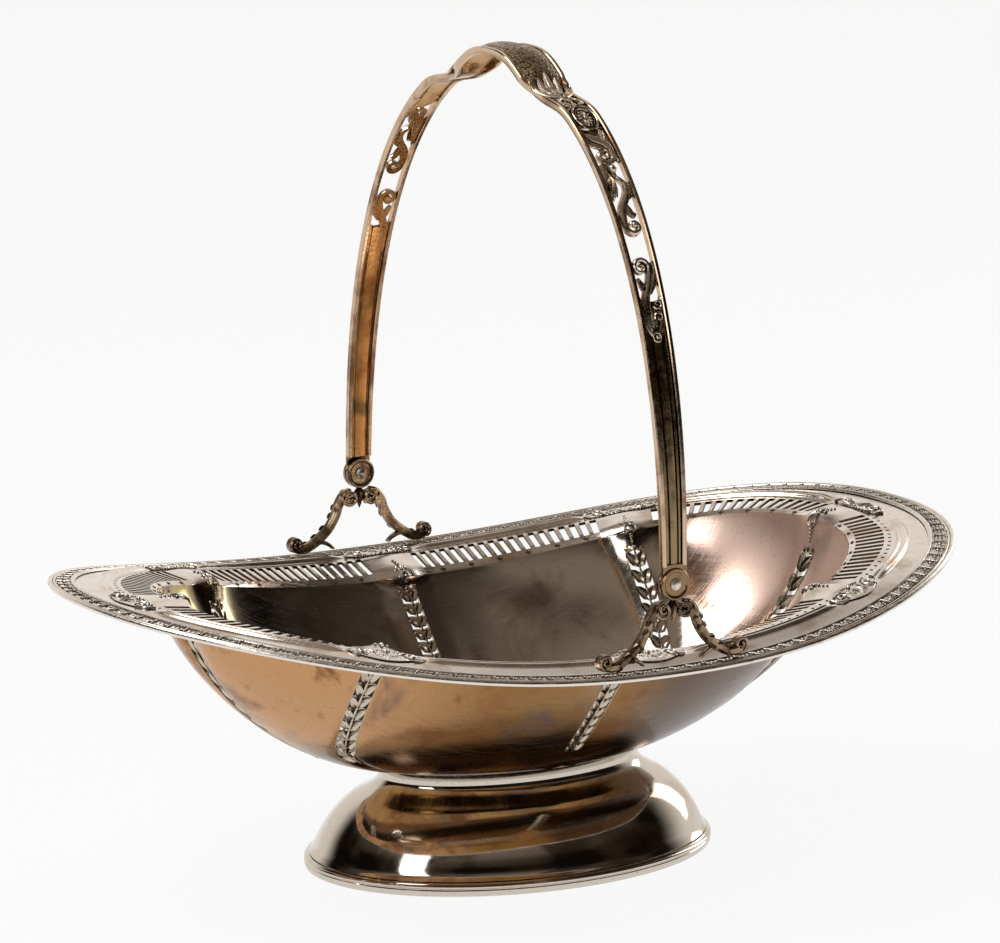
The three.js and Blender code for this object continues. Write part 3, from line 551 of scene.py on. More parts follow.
def mouldings(inset, turn):
    """Rise of the ridge moulding and its two beads, which run from crest to crest."""
    clear = smoothstep(off_rib(turn), *RIDGE_CLEAR)
    hump = max(0, 1 - ((inset - RIDGE_INSET) / RIDGE_HALF) ** 2)
    rise = RIDGE_HUMP * RIDGE_HEIGHT * hump
    for bead in RIDGE_BEADS:
        rise += BEAD_HEIGHT * math.sqrt(max(0, 1 - ((inset - bead) / BEAD_HALF) ** 2))
    return rise * clear


def bowl_middle(line, turn):
    """A point of the smooth bowl: the line is an inset on the flange and then runs down the wall."""
    if line <= WALL_INSET:
        rise_end, rise_side, lean, _ = flange_at(line)
        angle = turn + lean * RIM_TURN * math.sin(2 * turn)
        x, y = on_oval(RIM_LENGTH / 2 - line, RIM_WIDTH / 2 - line, RIM_POWER, angle)
        return Vector((x, y, rim_line(angle) + between((rise_end, rise_side), angle)))
    step = max(0, 1 - (line - WALL_INSET) / WALL_SPAN)
    quarter = step * math.pi / 2
    lean = lerp(*WALL_LEAN, min(1, (1 - step) / (1 - LOW_STEP)) ** 2)
    angle = turn + lean * RIM_TURN * math.sin(2 * turn)
    spread = [math.sin(quarter) ** (2 / power) for power in WALL_POWER]
    half_length = lerp(FOOT_LENGTH / 2 - SEAT_INSET, RIM_LENGTH / 2 - WALL_INSET, spread[0])
    half_width = lerp(FOOT_WIDTH / 2 - SEAT_INSET, RIM_WIDTH / 2 - WALL_INSET, spread[1])
    x, y = on_oval(half_length, half_width, lerp(2, RIM_POWER, step), angle)
    climb = 1 - max(0, math.cos(quarter)) ** (2 / between(WALL_POWER, angle))
    top = rim_line(angle) + between(WALL_TOP_RISE, angle)
    return Vector((x, y, lerp(BOTTOM_HEIGHT, top, climb)))


def bowl_normal(line, turn):
    inwards = bowl_middle(line + 0.3, turn) - bowl_middle(line - 0.3, turn)
    along = bowl_middle(line, turn + 0.004) - bowl_middle(line, turn - 0.004)
    normal = along.cross(inwards).normalized()
    return -normal if normal.z < 0 else normal


def rib_swell(line, turn):
    """Height of a rib: it grows over the flange, then halves on the wall and fades out towards the seat."""
    if line <= WALL_INSET:
        share = flange_at(line)[3]
    else:
        step = max(0, 1 - (line - WALL_INSET) / WALL_SPAN)
        fade = math.sin(min(1, step / RIB_FADE) * math.pi / 2)
        share = fade * lerp(1, 0.5, smoothstep(line, WALL_INSET, RIB_HALVED))
    return RIB_DEPTH * share * math.exp(-(off_rib(turn) / RIB_WIDTH) ** 2)


def bowl_point(line, turn, lift=0.0):
    """A point of the sheet with its ribs and mouldings, or one lifted off it."""
    rise = rib_swell(line, turn) + lift
    if line <= WALL_INSET:
        rise += mouldings(line, turn)
    return bowl_middle(line, turn) + bowl_normal(line, turn) * rise


def on_bowl(line, turn):
    """Puts a flat drawing on the bowl: x along the rim, y down the bowl, z out of the upper face."""
    return lambda p: bowl_point(line + p.y, beside(line, turn, p.x), p.z)


def beside(line, turn, distance):
    """Turn of the point at a distance along a line of the bowl from the point at a turn."""
    if abs(distance) < 1e-6:
        return turn
    start = bowl_middle(line, turn)
    shift = distance / RIM_LENGTH
    for _ in range(5):
        shift *= abs(distance) / (bowl_middle(line, turn + shift) - start).length
    return turn + shift


def line_steps():
    """Lines of the bowl from its edge to its seat, close together where its form changes fast."""
    flange = [EDGE_INSET, 5, 8.8, 10, 11.5, 13, 14.2, 14.9]
    flange += [15.1 + 0.3 * k for k in range(17)]
    flange += [20.4, *HOLE_BAND, 23.0, SLOT_BAND[0], 25.4, 27.3, 29.2, 31.1, SLOT_BAND[1], 34.1]
    wall = [WALL_INSET + 1.2 * k for k in range(9)] + [GARLAND_LINES[0]]
    run = GARLAND_LINES[1] - GARLAND_LINES[0]
    wall += [GARLAND_LINES[0] + run * k / 16 for k in range(1, 17)]
    wall += [88, 91, 94, 97, 100, 102.5, 104.2, WALL_INSET + WALL_SPAN]
    return flange, wall


RIB_OFFSETS = (0.0, 1.15, 2.3, GARLAND_HALF, 4.1, 5.0, 6.0, SLOT_FREE_END - 1)


def slot_shares(panel):
    """Edges of a panel's slots as shares of the run between its two rib zones."""
    line = sum(SLOT_BAND) / 2
    samples = 240
    turns = [(panel + k / samples) * PANEL for k in range(samples + 1)]
    run = run_lengths([bowl_point(line, turn) for turn in turns])
    free = run[-1] - 2 * SLOT_FREE_END
    count = int((free - SLOT_WIDTH) / SLOT_PITCH) + 1
    start = (run[-1] - (count - 1) * SLOT_PITCH) / 2
    low, high = zone_turns(line, panel)
    edges = []
    for slot in range(count):
        for side, opens in ((-SLOT_WIDTH, {"slot"}), (-HOLE_WIDTH, {"slot", "hole"}), (HOLE_WIDTH, {"slot"}),
                            (SLOT_WIDTH, set())):
            turn = value_at(turns, run, start + slot * SLOT_PITCH + side / 2)
            edges.append(((turn - low) / (high - low), opens))
    return edges


def zone_turns(line, panel):
    """Turns at which the two rib zones of a panel end on a line."""
    return beside(line, panel * PANEL, RIB_OFFSETS[-1]), beside(line, (panel + 1) * PANEL, -RIB_OFFSETS[-1])


def bowl_columns():
    """Columns of the bowl: place in its panel, and which openings begin there."""
    columns = []
    for panel in range(RIBS):
        for offset in RIB_OFFSETS:
            opens = {"garland"} if offset < GARLAND_HALF else set()
            columns.append({"panel": panel, "offset": offset, "opens": opens})
        for share, opens in slot_shares(panel):
            columns.append({"panel": panel, "share": share, "opens": opens})
        for offset in reversed(RIB_OFFSETS[1:]):
            opens = {"garland"} if offset <= GARLAND_HALF else set()
            columns.append({"panel": panel, "offset": -offset, "opens": opens})
    return columns


def column_turn(column, line, zones):
    panel = column["panel"]
    if "share" in column:
        low, high = zones[panel]
        return lerp(low, high, column["share"])
    rib = panel if column["offset"] >= 0 else panel + 1
    return beside(line, rib * PANEL, column["offset"])


# The last material, on the cut edges and the fleurs, is painted shade
BOWL_MATERIALS = [FLANGE_PLATE, BOWL_INSIDE, BOWL_OUTSIDE, PIERCING_SHADE]
ON_FLANGE, ON_INSIDE, ON_OUTSIDE, ON_SHADED_EDGES = range(4)
BANDS = {"slot": SLOT_BAND, "hole": HOLE_BAND, "garland": GARLAND_LINES}


def bowl():
    """The sheet of the bowl: a grid laid on its form, pierced, closed at the bottom and thickened."""
    flange, wall = line_steps()
    lines = flange + wall
    columns = bowl_columns()
    count = len(columns)
    bm = bmesh.new()
    bmesh.ops.create_grid(bm, x_segments=count, y_segments=len(lines) - 1, size=1)
    bm.verts.ensure_lookup_table()
    bm.faces.ensure_lookup_table()
    for row, line in enumerate(lines):
        zones = [zone_turns(line, panel) for panel in range(RIBS)]
        ring = [bowl_point(line, column_turn(column, line, zones)) for column in columns]
        if row == len(lines) - 1:
            for point in ring:
                point.z = BOTTOM_HEIGHT
        for column in range(count + 1):
            bm.verts[row * (count + 1) + column].co = ring[column % count]
    gone = []
    for row in range(len(lines) - 1):
        middle = (lines[row] + lines[row + 1]) / 2
        pierced = {name for name, (low, high) in BANDS.items() if low < middle < high}
        for index, column in enumerate(columns):
            face = bm.faces[row * count + index]
            face.material_index = ON_FLANGE if row < len(flange) else ON_INSIDE
            if pierced & column["opens"]:
                gone.append(face)
    bmesh.ops.delete(bm, geom=gone, context="FACES")
    bmesh.ops.remove_doubles(bm, verts=bm.verts, dist=WELD)
    seat = [edge for edge in bm.edges if edge.is_boundary
            and all(abs(vert.co.z - BOTTOM_HEIGHT) < 1e-3 for vert in edge.verts)]
    for face in bmesh.ops.holes_fill(bm, edges=seat)["faces"]:
        face.material_index = ON_INSIDE
    bmesh.ops.recalc_face_normals(bm, faces=bm.faces)
    if sum(face.normal.z * face.calc_area() for face in bm.faces) < 0:
        bmesh.ops.reverse_faces(bm, faces=bm.faces)
    thicken_bowl(bm)
    piece("bowl_sheet", bm, BOWL_MATERIALS, "basket", "bowl_silver_plate", "bowl")


def thicken_bowl(bm):
    """Give the sheet its thickness, and its lower side and cut edges their own materials; the cut edges get
    painted shade.
    """
    drawn = set(bm.verts)
    bmesh.ops.solidify(bm, geom=bm.faces[:], thickness=SHEET)
    both = [[face for face in bm.faces if all((vert in drawn) == is_drawn for vert in face.verts)]
            for is_drawn in (True, False)]
    both.sort(key=lambda faces: sum(face.calc_center_median().z for face in faces) / len(faces))
    outside, inside = (set(faces) for faces in both)
    for face in bm.faces:
        if face in outside:
            face.material_index = ON_OUTSIDE
        elif face not in inside:
            # painted shade on the cut edges
            face.material_index = ON_SHADED_EDGES


# The border

def rim_point(inset, turn, rise):
    """A point of the border, at an inset from the rim's edge and a rise over the border's lower edge."""
    angle = turn + RIM_TURN * math.sin(2 * turn)
    x, y = on_oval(RIM_LENGTH / 2 - inset, RIM_WIDTH / 2 - inset, RIM_POWER, angle)
    return Vector((x, y, rim_line(angle) + rise))


BORDER_SECTION = [
    (1.5, 0.0), (0.9, 0.0), (0.35, 0.2), (0.05, 0.6), (0.0, 1.0), (0.1, 1.4), (0.4, 1.75), (0.8, 1.9),
    (1.2, 1.8), (1.45, 1.55), (1.6, 1.3), (1.75, 1.55), (2.0, 1.75), (2.3, 1.75), (2.55, 1.5), (2.7, 1.15),
    (4.9, 1.25), (7.2, 1.25), (7.35, 1.6), (7.6, 1.95), (7.95, 2.05), (8.3, 1.9), (8.5, 1.55), (8.6, 1.3),
    (9.0, 1.2), (8.8, 1.2), (5.0, 1.2), (1.5, 1.2),
]
BORDER_COLUMNS = 480
LEAF_BED = 1.25  # height of the bed between the border's two beads
LEAF_INSET = 4.95
LAUREL_UNITS = 132


def laurel_unit(pitch):
    """One bundle of the border: three pairs of leaves and the crossed ribbon that binds them."""
    parts = []
    for k in range(3):
        start = pitch * (0.06 + 0.25 * k)
        for side in (-1, 1):
            tip = (start + pitch * 0.38, side * 1.85)
            parts.append(leaf((start, side * 0.3), tip, 0.72, 0.6, bend=side * 0.25, steps=3))
    parts.append(leaf((pitch * 0.6, 0), (pitch * 0.98, 0), 0.6, 0.65, steps=3))
    for side in (-1, 1):
        ribbon = [(-pitch * 0.09, side * 2.0), (pitch * 0.09, -side * 2.0)]
        parts.append(scroll(ribbon, (0.55, 0.55), 0.0, 0.65, edge=0.15))
    return together(parts)


def rim_border():
    rings = []
    for k in range(BORDER_COLUMNS):
        turn = FULL_TURN * k / BORDER_COLUMNS
        rings.append([rim_point(inset, turn, rise) for inset, rise in BORDER_SECTION])
    piece("border_strip", skin(rings, is_loop=True), [ORNAMENT], "basket", "ornament_silver", "rim_border")

    samples = 1440
    turns = [FULL_TURN * k / samples for k in range(samples + 1)]
    run = run_lengths([bowl_middle(LEAF_INSET, turn) for turn in turns])
    pitch = run[-1] / LAUREL_UNITS
    pattern = laurel_unit(pitch)
    leaves = bmesh.new()
    for k in range(LAUREL_UNITS):
        def place(p, start=k * pitch):
            turn = value_at(turns, run, (start + p.x) % run[-1])
            return rim_point(LEAF_INSET + p.y, turn, LEAF_BED + p.z)
        merge(leaves, pattern.copy(), place)
    piece("border_laurel", leaves, [ORNAMENT], "basket", "ornament_silver")


# Ornaments laid on the bowl near a rib

CREST_HALF_LENGTH = 13
CREST_HALF_WIDTH = 4.6
CREST_LIFT = 0.2


def crest_drawing():
    """A fan of leaves between two scrolls, over a row of pearls, drawn with the rim at the top."""
    arm = [(12.9, 1.9, 0.5), (12.3, -0.6, 0.8), (10.6, -2.0, 1.1), (8.4, -2.3, 1.2)]
    curl = volute((8.0, 0.1), (2.3, 0.4), 260, -1.3, (1.2, 0.6))
    brow = [(9.6, 2.9, 0.5), (6.6, 3.1, 0.9), (4.4, 1.9, 0.9), (3.6, 0.2, 0.5)]
    parts = [vine(arm, -0.2, 0.75), vine(curl, -0.2, 0.95, steps=2), vine(brow, -0.2, 0.8)]
    for k, tip in enumerate(((1.5, -4.4), (3.3, -4.0), (4.9, -3.2))):
        parts.append(leaf((0.5 + 0.7 * k, 1.6), tip, 0.8, 0.85, bend=-0.35))
    for k in range(6):
        parts.append(pearl(1.3 + 1.5 * k, 4.1 - 0.05 * k * k, 0.5, 0.3))
    middle = [leaf((0, 2.4), (0, -5.0), 1.1, 1.0, steps=6), pearl(0, 3.0, 0.9, 0.4)]
    return together(both_sides(parts) + middle)


def crest_bed():
    """The thin plate under a crest: a long hump with two shallow notches on each side."""
    outline = []
    for k in range(48):
        angle = FULL_TURN * k / 48
        lobe = 1 - 0.1 * (1 - math.cos(4 * angle))
        outline.append((CREST_HALF_LENGTH * math.cos(angle), CREST_HALF_WIDTH * lobe * math.sin(angle)))
    return skin([[Vector((x * scale, y * scale, height)) for x, y in outline] for scale, height in (
        (0.0, 0.0), (0.97, 0.0), (1.0, 0.12), (0.97, 0.25), (0.6, 0.3), (0.0, 0.35))])


def crests():
    for rib in range(RIBS):
        drawing = together([crest_bed(), crest_drawing()])
        bmesh.ops.translate(drawing, vec=(0, 0, CREST_LIFT), verts=drawing.verts)
        crest = together([drawing], on_bowl(RIDGE_INSET, rib * PANEL))
        piece(f"crest_ornament_{rib + 1}", crest, [ORNAMENT], "basket", "ornament_silver", f"crest_{rib + 1}")


def garland_unit(pitch, is_first, is_last):
    """Two broad husk leaves that overlap the next pair, with a small cleft between pairs at each rail."""
    rail = GARLAND_HALF - 0.1
    parts = [scroll([(rail, -0.1), (rail, pitch + 0.1)], (0.6, 0.6), -1.15, 0.15, edge=0.15)]
    for face in (-1, 1):
        parts.append(leaf((0.3, pitch * 1.25), (3.3, pitch * 0.3), 1.8, face * 1.3, bend=-0.35, steps=5,
                          blunt=0.45))
        if is_first:
            parts.append(leaf((0.2, 1.6), (3.5, -0.6), 1.5, face * 0.9, bend=0.4, blunt=0.4))
        if is_last:
            parts.append(leaf((0.2, pitch + 0.5), (3.5, pitch - 1.2), 1.4, face * 0.9, bend=-0.4,
                              blunt=0.4))
    stalk = scroll([(0, -0.2), (0, pitch * 0.5), (0, pitch)], (0.7, 0.9), -1.3, 0.8, edge=0.15)
    return together(both_sides(parts) + [stalk])


def garlands():
    span = GARLAND_LINES[1] - GARLAND_LINES[0]
    lines = [GARLAND_LINES[0] + span * k / 60 for k in range(61)]
    for rib in range(RIBS):
        turn = rib * PANEL
        run = run_lengths([bowl_point(line, turn) for line in lines])
        pitch = run[-1] / GARLAND_UNITS
        bm = bmesh.new()
        for k in range(GARLAND_UNITS):
            def place(p, start=k * pitch):
                line = value_at(lines, run, min(max(start + p.y, 0), run[-1]))
                return bowl_point(line, beside(line, turn, p.x), p.z)
            merge(bm, garland_unit(pitch, k == 0, k == GARLAND_UNITS - 1), place)
        piece(f"garland_{rib + 1}", bm, [GARLAND_SILVER], "basket", "ornament_silver")


MEDALLION_INSET = 36.5
MEDALLION_RADIUS = 2.0
MEDALLION_PEARLS = (
    (0, 0, 1.05), (0, 3.2, 0.7), (0, 4.7, 0.62), (0, 6.0, 0.55), (0, 7.2, 0.5), (0, -3.3, 0.7),
    (0, -5.0, 0.6), (-1.9, -3.4, 0.45), (1.9, -3.4, 0.45), (0, -6.6, 0.5), (0, -8.1, 0.45),
)


def rib_medallions():
    """A ringed boss on each rib, with pearls down to the garland and three up to the crest."""
    bm = bmesh.new()
    section = [(0.0, 0.42), (0.35, 0.2), (0.42, 0.0), (0.35, -0.2), (0.0, -0.3), (-0.35, 0.0)]
    for rib in range(RIBS):
        rings = []
        for x, y in spiral((0, 0), MEDALLION_RADIUS, MEDALLION_RADIUS, 0, 1, 24)[:-1]:
            out = Vector((x, y)).normalized()
            rings.append([Vector((x + out.x * a, y + out.y * a, 0.4 + b)) for a, b in section])
        pearls = [pearl(x, y, radius, 0.3) for x, y, radius in MEDALLION_PEARLS]
        merge(bm, together([skin(rings, is_loop=True)] + pearls), on_bowl(MEDALLION_INSET, rib * PANEL))
    piece("rib_medallions", bm, [ORNAMENT], "basket", "ornament_silver")


FLEUR_DROP = 1.7  # below the ends of the slots


def flange_fleurs():
    """Small marks stamped under the slots, one under every third bar: three petals and a drop, painted dark
    as the shade of pierced fleurs.
    """
    bm = bmesh.new()
    line = SLOT_BAND[1] + FLEUR_DROP
    for panel in range(RIBS):
        zone = zone_turns(line, panel)
        shares = [share for share, opens in slot_shares(panel) if not opens]
        for share in shares[1:-1:3]:
            mark = [leaf((0, 0), (side * 1.1, -0.9 if side else -1.5), 0.36, 0.22, base=0.06, steps=3)
                    for side in (-1, 0, 1)]
            mark.append(pearl(0, 0.7, 0.38, 0.08, height=0.5))
            merge(bm, together(mark), on_bowl(line, lerp(*zone, share)))
    piece("flange_fleurs", bm, [PIERCING_SHADE], "basket", "ornament_silver")


# The foot

FOOT_PROFILE = (
    (1.7, 0), (3.0, 0.058), (4.2, 0.142), (5.8, 0.24), (8.6, 0.375), (12.2, 0.505), (16.2, 0.608),
    (20.6, 0.686), (24.0, 0.77), (25.4, 0.867), (24.0, 1.0),
)
RING_HEIGHT = 4.5
FOOT_COLUMNS = 168


def foot_oval(inset, height):
    ring = []
    for k in range(FOOT_COLUMNS):
        angle = FULL_TURN * k / FOOT_COLUMNS
        x, y = on_oval(FOOT_LENGTH / 2 - inset, FOOT_WIDTH / 2 - inset, 2, angle)
        ring.append(Vector((x, y, height)))
    return ring


def foot():
    """The spreading sheet of the foot, open underneath."""
    low = RING_HEIGHT + SEAT_GAP
    outer = [(inset, lerp(low, FOOT_HEIGHT, share)) for inset, share in smooth_path(FOOT_PROFILE, 5)]
    inner = []
    for k, (inset, height) in enumerate(outer):
        run = heading(outer, k)
        at_end = k in (0, len(outer) - 1)
        inner.append((inset + run.y * SHEET, height if at_end else height - run.x * SHEET))
    bm = skin([foot_oval(inset, height) for inset, height in outer + inner[::-1]], is_loop=True)
    piece("foot_sheet", bm, [FOOT_PLATE], "basket", "foot_silver_plate", "foot")


def foot_base_ring():
    section = [(0.7, 0), (0.3, 0.25), (0.05, 0.8), (0, 1.5), (0.1, 2.1), (0.35, 2.35), (0.35, 2.6),
               (0.15, 2.8), (0.15, 3.3), (0.45, 3.7), (0.8, 3.85), (0.9, 4.1), (1.2, 4.4),
               (1.8, RING_HEIGHT), (3.6, RING_HEIGHT), (3.6, 0)]
    bm = skin([foot_oval(inset, height) for inset, height in section], is_loop=True)
    piece("foot_ring", bm, [FOOT_PLATE], "basket", "foot_silver_plate", "foot_base_ring")


# The handle

def grip_lift(reach):
    """How far the handle rises over its arch at the grip and sinks beside it."""
    if reach < WAIST_HALF:
        return GRIP_RISE * math.cos(math.pi * (reach / WAIST_HALF) ** 1.5)
    if reach > SHOULDER_HALF:
        return 0
    share = (reach - WAIST_HALF) / (SHOULDER_HALF - WAIST_HALF)
    return -GRIP_RISE * (1 + math.cos(math.pi * share)) / 2


def arch_point(angle):
    x, y = on_oval(JOINT_FACE, ARCH_HEIGHT, ARCH_POWER, angle)
    return Vector((0, -x, PIVOT_HEIGHT + y + grip_lift(abs(x))))


def grip_share(reach):
    """One on the grip, nothing on the arms."""
    return 1 - smoothstep(reach, GRIP_HALF, GRIP_HALF + GRIP_BLEND)


class Arch:
    """The line of the handle, measured from the front hinge."""

    def __init__(self, samples=1600):
        self.angles = [math.pi * k / samples for k in range(samples + 1)]
        self.run = run_lengths([arch_point(angle) for angle in self.angles])
        self.length = self.run[-1]

    def angle(self, distance):
        return value_at(self.angles, self.run, min(max(distance, 0), self.length))

    def place(self, distance, across, out):
        angle = self.angle(distance)
        step = 0.01
        along = (arch_point(angle + step) - arch_point(angle - step)).normalized()
        return arch_point(angle) + X_AXIS * across + X_AXIS.cross(along) * out

    def half_width(self, distance):
        point = arch_point(self.angle(distance))
        climb = min(1, (point.z - PIVOT_HEIGHT) / ARCH_HEIGHT)
        arm = lerp(STRIP_FOOT_WIDTH, STRIP_TOP_WIDTH, climb)
        return (arm + GRIP_EXTRA_WIDTH * grip_share(abs(point.y))) / 2

    def dome(self, distance):
        return GRIP_DOME * grip_share(abs(arch_point(self.angle(distance)).y))

    def distance_at_height(self, height):
        """Distance at which the front arm reaches a height."""
        climb = (height - PIVOT_HEIGHT) / ARCH_HEIGHT
        angle = math.asin(climb ** (ARCH_POWER / 2))
        k = next(k for k, value in enumerate(self.angles) if value >= angle)
        return self.run[k]


ARCH = Arch()
# Distances along the arm of the two volutes that face each other across the open gap
SCROLL_LOW = ARCH.distance_at_height(211.4)
SCROLL_HIGH = ARCH.distance_at_height(223.9)
STRIP_START = DISC_RADIUS + 0.6
FLOOR_END = SCROLL_LOW - 11.4  # the floor between the rails stops below the gap
FLOOR_RETURN = SCROLL_HIGH + 32.9  # and begins again under the cartouche
NECK_CENTRE = 4.6  # the short bar that joins disc and strip, above the pivot
NECK_HEIGHT = 3.6


def arm_bar(start, end, section, step):
    """A bar along the handle whose section is given at each distance."""
    count = max(2, round((end - start) / step))
    rings = []
    for k in range(count + 1):
        distance = lerp(start, end, k / count)
        rings.append([ARCH.place(distance, u, w) for u, w in section(distance)])
    return skin(rings)


def rail_section(side):
    def section(distance):
        half = ARCH.half_width(distance)
        web = half - RAIL_WIDTH
        face = STRIP_THICKNESS / 2
        points = [(web, -face + 0.3), (web, face - 0.35), (web + 0.3, face - 0.05), (web + 0.75, face),
                  (half - 0.3, face), (half, face - 0.35), (half - 0.12, 0.35), (half - 0.12, -0.3),
                  (half, -face + 0.35), (half - 0.3, -face), (web + 0.3, -face)]
        return [(side * u, w) for u, w in points]
    return section


def floor_section(distance):
    """Floor between the rails: a raised middle panel, a groove and a fine bead on each side."""
    web = ARCH.half_width(distance) - RAIL_WIDTH + 0.15
    dome = ARCH.dome(distance)
    flat = grip_share(abs(arch_point(ARCH.angle(distance)).y))
    top = []
    for share, height in ((0.0, 0.75), (0.25, 0.7), (0.38, 0.55), (0.44, -0.1), (0.56, -0.15), (0.62, 0.35),
                          (0.78, 0.45), (0.86, 0.35), (0.92, -0.1), (1.0, -0.1)):
        swollen = dome * math.cos(share * math.pi / 2) + lerp(height, 0.8, flat)
        top.append((share * web, swollen))
    right = top + [(web, -0.5)]
    left = [(-u, w) for u, w in reversed(right[1:])]
    under = [(web * share, dome * swell - deep) for share, swell, deep in (
        (-0.72, 0.5, 0.4), (-0.6, 0.6, 0.8), (0, 0.95, 0.85), (0.6, 0.6, 0.8), (0.72, 0.5, 0.4))]
    return right[::-1] + left[::-1] + under


def hinge_disc():
    """The round end of an arm: a dished disc with a raised rim, turned round the hinge's axis."""
    outline = [(0.0, 0.0), (DISC_RADIUS - 0.3, 0.0), (DISC_RADIUS, 0.3), (DISC_RADIUS, 1.5),
               (DISC_RADIUS - 0.3, 1.85), (DISC_RADIUS - 0.7, 1.9), (DISC_RADIUS - 1.1, 1.75),
               (DISC_RADIUS - 1.5, 1.3), (3.0, 1.2), (1.9, 1.35), (0.0, 1.35)]
    return lathe(outline, 36)


def on_hinge(point):
    """From a drawing seen from the front, depth outwards, to the front hinge."""
    return Vector((point.x, -(DISC_INNER + point.z), PIVOT_HEIGHT + point.y))


def both_arms(bm):
    """Repeat a mesh of the front arm on the back arm, half a turn round the upright axis."""
    other = bm.copy()
    bmesh.ops.rotate(other, cent=(0, 0, 0), matrix=Matrix.Rotation(math.pi, 3, "Z"), verts=other.verts)
    merge(bm, other)
    return bm


ARCH_HEART = Vector((0, 0, PIVOT_HEIGHT + 40))  # a point that the handle's underside looks at


def mark_underside(bm, material, first=0):
    """Give the faces that look towards the bowl a material of their own."""
    bm.faces.ensure_lookup_table()
    for face in bm.faces[first:]:
        if face.normal.dot((face.calc_center_median() - ARCH_HEART).normalized()) < -0.3:
            face.material_index = material


STRIP_MATERIALS = [RAIL_PLATE, CHANNEL_PLATE, UNDER_PLATE, GRIP_PLATE, DISC_PLATE]
ON_RAILS, ON_CHANNEL, ON_UNDERSIDE, ON_GRIP, ON_DISCS = range(5)


def handle_strip():
    """Two rails from hinge to hinge, with a floor between them that leaves a gap open in each arm."""
    last = ARCH.length
    bm = together([arm_bar(STRIP_START, last - STRIP_START, rail_section(side), 1.6) for side in (-1, 1)])
    rails = len(bm.faces)
    for start, end, step in ((STRIP_START, FLOOR_END, 2.2), (FLOOR_RETURN, last - FLOOR_RETURN, 1.2),
                             (last - FLOOR_END, last - STRIP_START, 2.2)):
        merge(bm, arm_bar(start, end, floor_section, step))
    bm.faces.ensure_lookup_table()
    for face in bm.faces[rails:]:
        on_grip = abs(face.calc_center_median().y) < GRIP_HALF + 3
        face.material_index = ON_GRIP if on_grip else ON_CHANNEL
    mark_underside(bm, ON_UNDERSIDE, rails)
    ends = together([hinge_disc()], on_hinge)
    neck = bmesh.new()
    bmesh.ops.create_cube(neck, size=1)
    merge(ends, neck, lambda p: Vector((p.x * STRIP_FOOT_WIDTH, -(DISC_INNER + 0.5 + p.y),
                                        PIVOT_HEIGHT + NECK_CENTRE + p.z * NECK_HEIGHT)))
    for face in ends.faces:
        face.material_index = ON_DISCS
    merge(bm, both_arms(ends))
    piece("handle_strip", bm, STRIP_MATERIALS, "bail", "handle_silver_plate", "bail_handle")


def lower_scroll():
    """Below the gap: a volute on a curved stem, with leaves that fill the strip further down."""
    stem = [(-1.5, -21.0, 1.4), (-1.9, -16.6, 2.6), (-1.8, -13.2, 3.0), (-1.2, -9.9, 2.9), (0.2, -6.9, 2.7),
            (1.3, -4.0, 2.4), (1.8, -1.4, 2.0)]
    parts = [
        vine(stem + volute((-1.0, 0), (3.0, 0.6), 5, 1.3, (1.8, 1.0)), -0.7, 1.15, steps=3),
        vine([(-0.4, -8.8, 1.6), (-1.6, -6.2, 2.2), (-2.9, -3.4, 0.8)], -0.5, 0.9),
        vine([(0.6, -8.4, 2.0), (2.2, -6.0, 2.6), (3.4, -3.6, 2.2), (4.0, -0.6, 1.6), (3.4, 1.6, 1.0)],
             -0.6, 0.8),
    ]
    flank = [(0.8, -23.4, 1.0), (2.6, -19.5, 2.2), (3.3, -16.0, 2.4), (3.9, -12.2, 2.0), (3.9, -9.8, 0.8)]
    parts += both_sides([vine(flank, -0.6, 0.9)])
    for x, y, turns in ((2.2, -12.4, 1.1), (2.0, -16.6, -1.1)):
        parts.append(vine(volute((x, y), (1.7, 0.5), 200, turns, (1.2, 0.7), 12), -0.3, 1.25, steps=2))
    parts += [
        leaf((0.2, -21.5), (0.6, -11.8), 1.4, 1.1, base=0.3, bend=0.5, steps=5),
        vine(volute((0, -23.0), (1.45, 1.45), 0, 1.0, (0.8, 0.8), 14), 0.2, 1.1, steps=1),
        pearl(0, -23.0, 0.75, 0.7),
    ]
    return together(parts)


